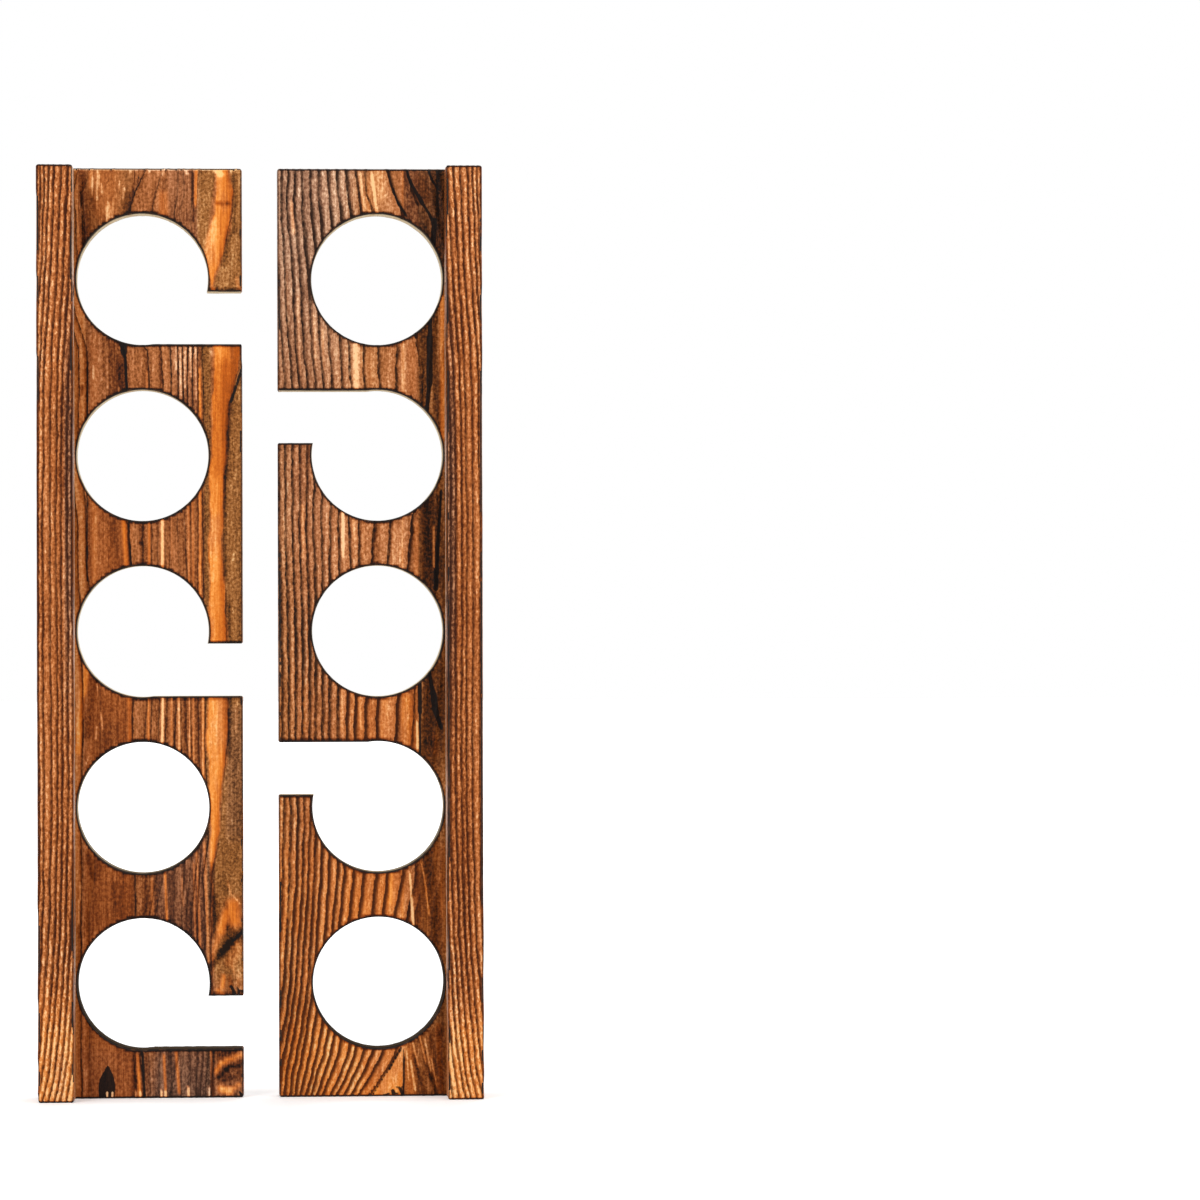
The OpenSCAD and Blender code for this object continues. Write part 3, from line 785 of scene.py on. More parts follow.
# %% Grain of the tip board
TIP_SECTIONS = [
    (450, 0, [96.7, 93.4, 90.2, 87.0, 83.0, 78.8, 74.4, 69.8, 65.4, 60.6, 55.4, 45.2, 36.0, 24.4],
     "78679999983979"),
    (438, 0, [96.6, 93.7, 90.2, 86.3, 82.4, 78.2, 73.3, 68.8, 64.2, 58.8, 55.0, 41.9, 32.6, 22.8],
     "67867778876987"),
    (429, 0, [96.5, 93.8, 90.1, 86.4, 82.1, 77.7, 72.6, 67.7, 63.0, 57.6, 52.0, 37.8, 28.4, 22.0],
     "67879999986999"),
    (410, -1, [98.4, 95.2, 91.7, 88.4, 84.8, 80, 76, 71, 66, 61, 55, 48, 38, 22.2, 17],
     "578899999888999"),
    (390, -1, [97.6, 94.7, 90.8, 87.2, 83, 79, 75, 70, 65.5, 60, 53, 46, 36, 20, 15], "578899999888899"),
    (362, -1, [96.0, 92.7, 89.4, 85.5, 81.5, 77.7, 73.2, 67.8, 63.6, 56.4, 49.5, 40.0, 30, 24.3, 18],
     "565757576777688"),
    (353, -1, [95.3, 91.7, 88.6, 84.6, 80.5, 76.8, 72.4, 67.4, 63.6, 57.0, 49.4, 40.8, 29, 24.9, 19],
     "566656676787668"),
    (344, -1, [95.1, 91.6, 87.7, 83.9, 80.1, 76.1, 71.9, 67.0, 62.4, 55.9, 48.5, 40.4, 28, 25.2, 20],
     "677778877788668"),
    (277, -1, [94.6, 91.2, 87.8, 84.4, 81.0, 77.0, 72.7, 68.8, 63.7, 58.8, 51.5, 43.7, 33.0, 28.2, 20.9],
     "766765667788968"),
    (259, -1, [94.2, 90.7, 87.3, 83.9, 80.5, 76.7, 73.2, 68.4, 62.9, 58.8, 52.8, 44.8, 34.9, 28.7, 22.0],
     "777788887787888"),
    (225, -1, [93.3, 89.8, 86.3, 83.0, 80.1, 76.8, 73.3, 69.0, 64.0, 60.0, 54.5, 48.0, 38.5, 30, 22],
     "899999998888889"),
    (183, -1, [93.0, 89.7, 86.4, 83.0, 80.0, 76.6, 73.3, 69.3, 64.6, 60.7, 55.6, 49.9, 40.3, 31.9, 28.4,
     21.2], "7788888899999969"),
    (135, -1, [92.1, 88.7, 85.4, 82.4, 79.6, 76.4, 73.0, 69.2, 65.5, 61.0, 56.0, 50.4, 44.0, 36.8, 31, 26,
     22], "89889888888888887"),
    (107, -1, [92.8, 89.2, 86.3, 83.5, 80.6, 77.4, 73.6, 69.4, 66.1, 61.6, 56.6, 50.6, 45.1, 37.5, 31, 27,
     23], "89888999999999966"),
    (89, -1, [93.3, 90.7, 87.4, 84.6, 81.7, 78.9, 74.8, 71.2, 67.9, 63.6, 58.7, 52.4, 47.1, 41.2, 34.9,
     31, 27], "89999999999999966"),
    (60, -1, [95.1, 92.1, 89.2, 86.4, 83.3, 80.2, 76.8, 73.4, 70.4, 66.4, 61.6, 55.6, 50.4, 44.6, 38.6,
     33, 28], "99888999999999766"),
    (40, 0, [94.2, 91.7, 88.8, 85.9, 83.4, 79.8, 76.4, 73.0, 69.6, 65.4, 60, 55.5, 50.4, 44.8, 36.8, 31],
     "9999999999999966"),
    (30, 0, [96.2, 93.6, 90.6, 87.3, 84.8, 81.5, 77.6, 74.2, 71.0, 67.2, 62.6, 58.6, 54.2, 49.6, 45, 39,
     33], "99999999999999966"),
    (20, 1, [95.6, 92.6, 89.3, 86.4, 83.0, 79.6, 76.2, 72.8, 68.9, 64.4, 61.2, 56.9, 52.8, 48.1, 41.4,
     36.4, 31], "99999999999999956"),
    (12, 1, [97.0, 94.1, 91.2, 88.3, 85.0, 81.7, 79.1, 75.6, 72.3, 67.6, 64.1, 60.7, 56.8, 52.5, 46.6,
     36.6, 29], "99999999999999976"),
    (4, 1, [98.0, 95.1, 92.2, 89.6, 86.9, 84.0, 81.5, 78.5, 75.6, 71.4, 68.3, 64.6, 61.0, 57.2, 51.8,
     37.2, 28], "99999999999999988"),
    (0, 1, [98.4, 95.5, 92.8, 90.4, 88.2, 85.2, 82.6, 80, 77.2, 73.4, 70.4, 66.8, 63.2, 59.8, 54.6, 37.6,
     27], "99999999999999988"),
]
TIP_AREAS = [
    (60, 99, 424, 453, -0.07, 0, 0), (36, 60, 424, 453, -0.12, 0, 0), (16, 37, 396, 453, -0.3, 0, 0.25),
    (36, 96, 255, 290, 0.04, 0, 0), (16, 29, 235, 300, -0.14, 0, 0), (66, 99, 165, 205, -0.08, 0, 0),
    (30, 66, 165, 205, -0.1, 0.35, 0), (16, 29, 160, 215, -0.18, 0, 0), (66, 99, 78, 122, -0.07, 0.12, 0),
    (34, 66, 78, 122, -0.1, 0.25, 0), (16, 32, 70, 122, -0.14, 0.3, 0), (58, 99, -4, 36, 0.06, 0.1, 0),
    (37, 52, -4, 26, 0.07, 0, 0), (16, 36, -4, 34, -0.13, 0.15, 0),
]
TIP_STROKES = [
    # from the top end down to the first hole
    (20, 452, 18.6, 400, 2.6, -0.24, 0), (22.2, 425, 22.8, 413, 1.5, -0.8, 0),
    (25.3, 450, 23.5, 444.6, 0.7, -0.7, 0), (35.5, 449, 33.7, 442.8, 0.75, -0.6, 0),
    (33.7, 442.8, 30.5, 437.6, 1, -0.9, 0), (30.5, 437.6, 28.2, 433.6, 1.2, -0.9, 0),
    (28.2, 433.6, 24.1, 427.2, 0.85, -0.9, 0), (24.1, 427.2, 22.6, 423, 0.9, -0.9, 0),
    (23.5, 444.6, 19.5, 439.4, 0.55, -0.9, 0), (28.4, 444, 26.6, 436, 3, -0.24, 0.2),
    (20.6, 449, 20.4, 428, 0.5, -0.4, 0), (28, 422, 25, 414, 2.6, -0.06, 0),
    (58.6, 448, 56.4, 430, 0.8, 0.3, 0.35), (52.8, 448, 50.2, 428, 0.8, 0.36, 0.4),
    (49.4, 448, 48.6, 437, 3, 0.16, 0.2), (42, 446, 37.6, 431, 1.6, 0.12, 0),
    (42.4, 440.5, 40.2, 433.6, 0.55, -0.7, 0), (40.2, 433.6, 35.4, 426.6, 0.7, -0.7, 0),
    (44.6, 449, 43, 440, 0.9, -0.2, 0), (92, 434, 90.8, 419, 0.8, 0.12, 0.4),
    (55, 444, 54, 430, 1.5, 0.08, 0.3), (27, 421, 25.4, 416, 1.2, -0.2, 0),
    (88, 441, 88.4, 436, 0.6, 0.25, 0),
    # from the first hole down to the first mouth
    (24.2, 380, 24.4, 346, 1.2, -1, 0), (24.4, 368, 24.6, 346, 1.8, -0.6, 0),
    (24.6, 346, 25.8, 333, 1.2, -1, 0), (27.7, 352, 28.4, 334, 0.4, -0.6, 0),
    (22, 382, 21.6, 320, 1.3, -0.34, 0), (19.4, 345, 19.2, 320, 1.6, -0.2, 0),
    (18.4, 388, 18.2, 320, 1.2, 0.1, 0.8), (27.4, 376, 27.4, 320, 2.4, -0.3, 0),
    (37.2, 367, 37, 340, 1.1, 0.28, 0.2), (60.4, 364, 60.4, 342, 1.5, 0.42, 0.25),
    (57.8, 362, 57, 350, 0.6, 0.2, 0.2), (88.8, 388, 87.8, 350, 0.55, 0.26, 0.25),
    (81, 380, 80, 354, 0.6, 0.2, 0.25), (76.8, 372, 76.2, 352, 0.6, 0.2, 0.3),
    (94.4, 400, 93.4, 372, 0.6, 0.14, 0.2), (54, 360, 53.6, 346, 2, 0.08, 0.1),
    (33, 364, 33, 342, 2.4, -0.06, 0.2), (35.6, 192, 34.8, 172, 3, 0, 0.5),
    # from the second hole down to the third
    (18.8, 294, 20.6, 268, 0.8, -0.8, 0), (20.6, 268, 21.6, 246, 1.4, -0.8, 0),
    (21, 290, 20, 250, 2.4, -0.3, 0), (22.5, 276, 22.4, 256, 0.55, 0.4, 0.35),
    (25.4, 290, 25.2, 238, 2.7, -0.3, 0), (66.9, 284, 66.8, 262, 0.8, 0.46, 0.35),
    (86.4, 287, 86.2, 262, 0.65, 0.22, 0.45), (31, 278, 31, 252, 1.4, 0.05, 0.35),
    (41.6, 278, 42.6, 258, 0.9, 0.22, 0.1), (61.8, 280, 61.2, 270, 0.7, 0.18, 0.3),
    (56.6, 279, 57, 262, 0.7, 0.18, 0.1), (38, 274, 38.6, 258, 2, 0.08, 0.15),
    (95.4, 282, 95, 262, 0.5, 0.18, 0.1),
    # from the second mouth's upper side down to the fourth hole
    (26.6, 298, 25.6, 246, 3.4, -0.28, 0.15), (19.4, 206, 19.2, 170, 1.8, -0.16, 0),
    (24.8, 206, 22.8, 195, 1.2, -0.75, 0), (22.8, 195, 21.4, 186, 1.8, -0.75, 0),
    (21.4, 186, 18.9, 178.6, 1.2, -0.75, 0), (29.3, 204, 29.3, 186, 1.2, -0.75, 0),
    (29.3, 186, 29.2, 166, 0.7, -0.75, 0), (30.7, 182, 30.4, 168, 0.5, 0.7, 0.6),
    (25.4, 206, 24.6, 172, 2.8, -0.26, 0.1), (31.6, 200, 31.4, 180, 1, 0.05, 0.2),
    (36, 194, 36.6, 170, 2.2, 0.2, 0.35), (67.4, 197, 67.5, 178, 0.8, 0.2, 0.35),
    (85.4, 202, 85.6, 178, 0.65, 0.26, 0.45), (25, 170, 24, 120, 3.6, -0.2, 0.1),
    (46.6, 192, 46.8, 174, 2.2, 0.08, 0.2), (59, 192, 58.6, 180, 1, 0.1, 0.2),
    (22.4, 175, 21.6, 166, 1.6, 0, 0.35),
    # from the fourth hole down to the fifth
    (34.2, 108, 33.4, 96, 0.5, 0.5, 0.7), (33.4, 96, 32.4, 80, 0.7, 0.8, 0.7),
    (28.6, 113, 27, 105, 0.4, 0.4, 0.4), (27, 105, 24.8, 88, 0.42, 0.4, 0.5),
    (25.6, 114, 21, 60, 3.4, -0.22, 0), (19.2, 108, 18.2, 86, 0.45, 0.22, 0.2),
    (43.6, 109, 44, 94, 1.3, 0.12, 0.4), (20, 60, 19.4, 30, 2.2, -0.2, 0),
    (69, 105, 69, 100, 0.5, 0.25, 0.1), (30.6, 108, 30, 84, 1.4, -0.12, 0.1),
    # the foot
    (37.1, 22, 37.3, 1, 0.5, -0.75, 0), (30.5, 33, 26.5, 17, 0.5, 0.42, 0.4),
    (27, 28, 24, 12, 0.45, 0.4, 0.3), (24, 20, 21, 4, 0.42, 0.34, 0.3), (34, 18, 31.5, 3, 0.5, 0.42, 0.4),
    (33, 27, 30, 14, 0.45, 0.36, 0.4), (35.8, 22, 34.8, 8, 0.45, 0.36, 0.4),
    (19.6, 32, 18.4, 1, 1.5, -0.22, 0), (24, 11, 21, 0.5, 1.2, -0.38, 0),
    (31.6, 20, 29, 6, 0.6, -0.16, 0), (47, 0.6, 44.4, 1.4, 0.5, -1, 0), (44.4, 1.4, 41.4, 4, 0.75, -1, 0),
    (41.4, 4, 37.8, 4.2, 0.8, -1, 0), (39, 4, 38, 1, 0.9, -1, 0), (42.6, 1.2, 40, 1.6, 0.8, -1, 0),
    (40.2, 2.6, 41, 2.6, 0.4, 0.5, 0), (38.6, 23.4, 44.2, 13.4, 0.8, -1, 0),
    (44.2, 13.4, 48, 8, 0.5, -0.9, 0), (48, 8, 52, 1.2, 0.42, -0.9, 0),
    (35.4, 26, 33.4, 2, 2.6, 0.12, 0.45), (32.4, 20, 27.4, 2, 1, -0.3, 0.1),
    (29.4, 28, 24.2, 8, 0.9, -0.28, 0.1), (25, 32, 21.4, 12, 1.1, -0.24, 0.1),
    (20.4, 34, 19, 2, 1.5, -0.04, 0.35),
]


TIP_LEAN = -0.0024
TIP_WEDGE = [(24, 37.4, 38), (20, 37.6, 41.6), (12, 37.8, 46.8), (0, 38, 53.8)]
TIP_BEHIND = [(60, 10, 30), (30, 10, 36.4), (22, 10, 37), (0, 10, 37.2)]


def tip_grain(u, v, z, width):
    """Ring count, width and boldness, the tints gold, light, speckle and grey, and the marks."""
    reach = listed_place(surface_reach(u, v, width), z, width, TIP_LEAN)
    wander = ripple(z + 0.3 * u, 13, 50, 0.12) + ripple(z - 1.2 * u, 14, 17, 0.12)
    thick = 0.6 * ripple(z + 2 * u, 15, 9, 0.6) * rise(reach, 46, 30) * rise(z, 200, 250)
    thick = thick * rise(reach, 8, 16)
    rings, widths, bold = rings_between(reach - wander - thick, z, TIP_SECTIONS, 3.2, 8)
    light, gold, burnt, pale = strokes(reach, z, TIP_STROKES)
    lighter, golden, greyer = touched(reach, z, TIP_AREAS)
    inner = v < INNER_DEPTH

    light = light * inner + lighter
    foot = rise(z, 60, 20) * rise(reach, 36, 38)
    wedge = band(reach, z, TIP_WEDGE, 0.8)
    low = rise(z, 190, 70) * rise(reach, 34, 42)
    gold = np.maximum(gold, 0.6 * wedge) * inner + 0.5 * low + 0.2 * foot + golden
    gold = np.clip(gold, 0, 1)
    light = light + 0.04 * low + 0.04 * wedge - 0.1 * foot
    pale_top = rise(z, 330, 390) * rise(reach, 36, 42)
    light = light + 0.1 * pale_top - 0.08 * rise(reach, 40, 32)
    light = light + 0.03 * rise(reach, 50, 70) * rise(z, 90, 130)
    behind = band(reach, z, TIP_BEHIND, 0.5)
    bold = bold * (1 - 0.75 * behind) * (1 - 0.6 * rise(reach, 34, 30) * rise(z, 247, 223))
    speckle = np.maximum(0.6 * behind, 0.3 * rise(reach, 88, 94) * rise(z, 342, 318))
    speckle = np.maximum(speckle, 0.35 * rise(z, 300, 360) * rise(reach, 40, 50))
    grey = 0.62 * rise(z, 320, 410) * rise(reach, 54, 66)
    grey = grey + 0.25 * rise(z, 200, 290) * rise(reach, 60, 80) + greyer
    grey = np.clip(grey, 0, 1)
    marks = np.where(inner, [burnt, np.full(len(u), -FAR), pale], -FAR).T
    return rings, widths, bold, np.stack([gold, light, speckle, grey], 1), marks


# %% [markdown]
# The cleats show their rings nearly edge on, so that each one's visible face is a stripe of
# straight lines. Towards both ends the lines lean, and near the foot the wood between them is
# pale and golden, because the torch passed it quickly. Both cleats use one table and so mirror
# each other, but the tip bracket's rings are moved a little. The cleat's narrow side face away
# from the wall carries a painted highlight: over much of its height it is coloured pale grey,
# and elsewhere a little darker.

# %% Grain of the cleats
CLEAT_SECTIONS = [
    (450, 3, [15.5, 12.1, 8.7, 6.3, 3.9, 2.0, 0.4], "9787686"),
    (438, 3, [14.9, 11.6, 8.2, 5.8, 3.8, 1.9, 0.2], "8777676"),
    (428, 2, [17.3, 14.4, 11.1, 8.1, 5.3, 3.3, 1.9], "8977665"),
    (415, 2, [16.4, 13.5, 10.6, 7.6, 4.8, 2.8, 1.4], "7877655"),
    (400, 2, [15.9, 13.0, 10.1, 6.7, 4.3, 2.4, 0.5], "8877756"),
    (385, 1, [17.8, 14.9, 12.0, 9.1, 5.8, 3.3, 0.9], "8887777"),
    (370, 1, [16.9, 13.9, 11.1, 7.7, 4.8, 2.4, 0.4], "8887876"),
    (360, 1, [15.9, 13.0, 10.6, 7.2, 3.9, 1.9, 0.2], "8777876"),
    (350, 0, [17.9, 15.4, 12.5, 10.0, 7.0, 3.5, 1.4], "8786578"),
    (335, 0, [17.4, 14.9, 12.1, 9.6, 6.3, 3.3, 0.9], "8776578"),
    (310, 0, [16.9, 14.5, 11.6, 9.6, 6.3, 3.3, 0.6], "8775567"),
    (280, 0, [16.9, 14.4, 11.5, 8.8, 6.2, 2.5, 0.5], "8665567"),
    (250, 0, [17.0, 14.5, 11.5, 9.1, 6.2, 2.8, 0.5], "7664667"),
    (220, 0, [17.3, 14.9, 11.6, 9.5, 6.2, 2.9, 0.5], "7655567"),
    (190, 0, [17.3, 14.5, 12.0, 9.6, 6.6, 2.8, 0.5], "6776566"),
    (160, 0, [17.3, 14.9, 12.1, 9.6, 6.7, 3.2, 0.9], "7775656"),
    (130, 0, [17.3, 14.5, 11.7, 9.5, 6.7, 2.9, 0.9], "7777656"),
    (110, 0, [16.9, 14.0, 11.5, 8.7, 5.8, 2.9, 1.0], "7876666"),
    (95, 0, [16.4, 13.6, 11.1, 8.6, 5.8, 2.8, 0.3], "7888766"),
    (80, -1, [18.4, 15.9, 13.5, 10.6, 8.1, 5.2, 1.9], "8888777"),
    (65, -1, [17.3, 14.9, 12.5, 9.7, 7.2, 4.3, 1.4], "8888888"),
    (50, -1, [16.4, 14.0, 11.5, 8.7, 6.2, 2.9, 0], "8888887"),
    (40, -1, [15.9, 13.4, 10.6, 7.8, 5.2, 1.9], "888888"),
    (30, -2, [17.4, 14.9, 12.5, 9.7, 6.8, 4.3, 1.2], "8888888"),
    (20, -2, [16.4, 13.9, 11.5, 8.6, 5.8, 2.9, 0], "8888887"),
    (12, -3, [18.2, 15.5, 12.6, 10.4, 7.6, 4.8, 1.8], "8887888"),
    (6, -3, [17.2, 14.4, 11.6, 9.1, 6.2, 3.3, 0.8], "8888887"),
    (0, -3, [16.5, 13.4, 10.2, 7.7, 4.8, 1.9], "888887"),
]
CLEAT_SLANT = 0.22
CLEAT_BEND = 0.012
TIP_CLEAT_AHEAD = 1.6
TIP_CLEAT_DARKER = [0, 0.04, 0, 0]


def cleat_grain(u, v, z, width):
    """Grain and tints of the handle bracket's cleat, with a painted highlight on its side face all across
    it at the top.
    """
    high_up = rise(z, 385, 400)
    behind = rise(v, 9, 12) * (1 - high_up)
    return any_cleat(u, v, z, 0, np.maximum(behind, high_up * rise(v, 20, 18)))


def tip_cleat_grain(u, v, z, width):
    """Grain and tints of the tip bracket's cleat, which is darker, with no painted highlight on its side
    face at the top.
    """
    wear_and_sheen = rise(v, 9, 12) * rise(z, 412, 404)
    rings, widths, bold, tints, marks = any_cleat(u, v, z, TIP_CLEAT_AHEAD, wear_and_sheen)
    return rings, widths, bold, tints - TIP_CLEAT_DARKER, marks


def any_cleat(u, v, z, ahead, wear_and_sheen):
    """What both cleats share: the rings moved ahead, and a painted highlight on the side face."""
    wander = ripple(z + 2 * u, 24, 26, 0.1)
    place = u + ahead + CLEAT_SLANT * v + CLEAT_BEND * v * v + wander
    rings, widths, bold = rings_between(place, z, CLEAT_SECTIONS, 2.9, 7)
    low, high, foot = rise(z, 85, 30), rise(z, 330, 400), rise(z, 50, 5)
    # The side face away from the wall loses its lines and gold. Where the mask lies it is painted lighter
    # and greyer as a highlight, and elsewhere a little darker.
    front = rise(u, 17, 17.3)
    pale = front * wear_and_sheen * rise(z, 40, 70)
    smoked = rise(u, 12.4, 14) * (1 - front) * rise(np.abs(z - 280), 120, 40)
    light = 0.12 * foot + 0.19 * low + 0.07 * high - 0.04 * np.clip(ripple(z, 26, 90, 0.6), 0, 1)
    light = light + 0.42 * pale - 0.1 * smoked - 0.12 * (front - pale)
    bold = bold * (1 - 0.14 * foot) * (1 - front)
    gold = np.maximum(0.7 * low, 0.25 * (1 - smoked)) * (1 - front)
    tints = np.stack([gold, light, 0.2 * smoked, np.maximum(pale, 0.5 * smoked)], 1)
    return rings, widths, bold, tints, np.full((len(u), 3), -FAR)


# %% [markdown]
# The torch burns wherever an edge offers it two sides, so the wood is browned close to every rim
# as well. How near a point is to the nearest rim follows from the same numbers that the cutters
# were made with. Only the handle board's upper end was rubbed pale again.

# %% Scorching near the rims
SCORCH_FULL = 0.5
SCORCH_REACH = 0.4
LONG_EDGE_SHARE = 0.2
WORN_SHARE = 0.5
NO_RIM = 1000.0
WORN_END = "handle_rod_board"


def scorch(node, u, z, width):
    """How scorched a point of a face is, from 0 to 1, by its distance to the rims and ends."""
    below_top = bracket_height / MM - z
    near = np.minimum(rim_distance(node, u, z), z)
    if node != WORN_END:
        near = np.minimum(near, below_top)
    long_edge = np.minimum(u, width - u)
    burnt, browned, worn = (np.exp(-(np.maximum(away - SCORCH_FULL, 0) / SCORCH_REACH) ** 2)
                            for away in (near, long_edge, below_top))
    scorched = np.maximum(burnt, LONG_EDGE_SHARE * browned)
    return scorched - WORN_SHARE * worn * (node == WORN_END)


def rim_distance(node, u, z):
    """Distance in mm, over a board's face, to the nearest rim of a hole or mouth."""
    near = np.full(len(u), NO_RIM)
    if not node.endswith("rod_board"):
        return near
    facts = BRACKETS[node.split("_")[0]]
    centre_u, radius = (wall_x - hole_x) / MM, HOLE_RADIUS / MM
    for number in range(HOLE_COUNT):
        centre_z = (FIRST_HOLE_Z + number * HOLE_PITCH) / MM
        near = np.minimum(near, np.abs(np.hypot(u - centre_u, z - centre_z) - radius))
        if number in facts["open_holes"]:
            middle_z = centre_z + facts["mouth_side"] * mouth_offset / MM
            gap = np.abs(np.abs(z - middle_z) - MOUTH_HEIGHT / 2 / MM)
            near = np.where(u > centre_u, np.minimum(near, gap), near)
    return near


# %% [markdown]
# Now the counts are written to the meshes. The same pass brushes the boards: the soft wood
# between two dark lines was worn down by the wire brush, so each point there sinks a little
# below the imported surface, and points on a line stay where they are. Walls of holes were sawn
# after the brushing and stay true.

# %% Store the ring counts and brush the relief
BRUSH_DEPTH = 0.28
RIDGE_HALF_WIDTH = 0.75
BRUSHED_SKIN = 1.0
UNBRUSHED = 1.3
END_SHARE = 0.4
GRAINS = {
    "handle_rod_board": handle_grain, "handle_wall_cleat": cleat_grain,
    "tip_rod_board": tip_grain, "tip_wall_cleat": tip_cleat_grain,
}


def rows_of(items, name):
    """One vector of every item, such as the place of each vertex, as an array of rows."""
    values = np.empty(len(items) * 3, np.float32)
    items.foreach_get(name, values)
    return values.reshape(-1, 3).astype(float)


def board_places(node, places):
    """Distance from the wall, depth below the visible face, height and board width, all in mm."""
    low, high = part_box(node)
    side = -1 if node.startswith("handle") else 1
    u = wall_x - side * places[:, 0]
    v = places[:, 1] - low.y
    return u / MM, v / MM, places[:, 2] / MM, (high.x - low.x) / MM


def store(mesh, name, kind, values):
    """Writes one vector or colour per vertex as an attribute."""
    layer = mesh.attributes.new(name, kind, "POINT")
    entry = "color" if kind == "FLOAT_COLOR" else "vector"
    layer.data.foreach_set(entry, values.astype(np.float32).ravel())


def brushed_depth(rings, widths):
    """How far, from 0 on a dark line to 1 between lines, the brush wore a point down."""
    part = rings - np.floor(rings)
    away = np.minimum(part, 1 - part) * widths
    return 1 - np.exp(-((away / RIDGE_HALF_WIDTH) ** 2))


for node, board in boards.items():
    mesh = board.data
    places, normals = rows_of(mesh.vertices, "co"), rows_of(mesh.vertex_normals, "vector")
    u, v, z, width = board_places(node, places)
    rings, widths, bold, tints, marks = GRAINS[node](u, v, z, width)
    on_face = np.abs(normals[:, 1]) > 0.8
    tints[:, 1] = 0.5 + 0.5 * np.clip(tints[:, 1] - scorch(node, u, z, width) * on_face, -1, 1)
    store(mesh, "ring", "FLOAT_VECTOR", np.stack([rings, widths, bold], 1))
    store(mesh, "tints", "FLOAT_COLOR", tints)
    store(mesh, "marks", "FLOAT_VECTOR", marks)
    low, high = (np.array(corner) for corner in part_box(node))
    from_faces = np.minimum(places - low, high - places).min(axis=1) / MM
    outside = rise(from_faces, UNBRUSHED, BRUSHED_SKIN)
    depth = BRUSH_DEPTH * brushed_depth(rings, widths) * outside
    depth = depth * np.where(np.abs(normals[:, 2]) > 0.7, END_SHARE, 1)
    moved = places - normals * depth[:, None] * MM
    mesh.vertices.foreach_set("co", moved.astype(np.float32).ravel())
    mesh.update()
    print(node, "ring widths", round(float(widths.min()), 1), "to", round(float(widths.max()), 1),
          "mm, brushed", round(float(depth.max()), 2), "mm deep")

# %% [markdown]
# A wood material is a stack of simple patterns. From the ring count come the dark line, the
# brown shade that leads up to it, a slightly different tone for each ring, and a pale band after
# each line that is partly paler earlywood and partly a painted highlight. Stretched noise gives
# the fibres, round noise the pores and soot, and the stored tints say where the wood is golden,
# dark, speckled or grey: mostly where the torch left it so, and on the cleats' side faces as a
# painted highlight. Helpers keep each step of the node tree to one line.

# %% Helpers for node trees


def paint(code):
    """The linear colour of a hex code as it looks on screen."""
    parts = [int(code[i:i + 2], 16) / 255 for i in (0, 2, 4)]
    return (*[c / 12.92 if c <= 0.04045 else ((c + 0.055) / 1.055) ** 2.4 for c in parts], 1)


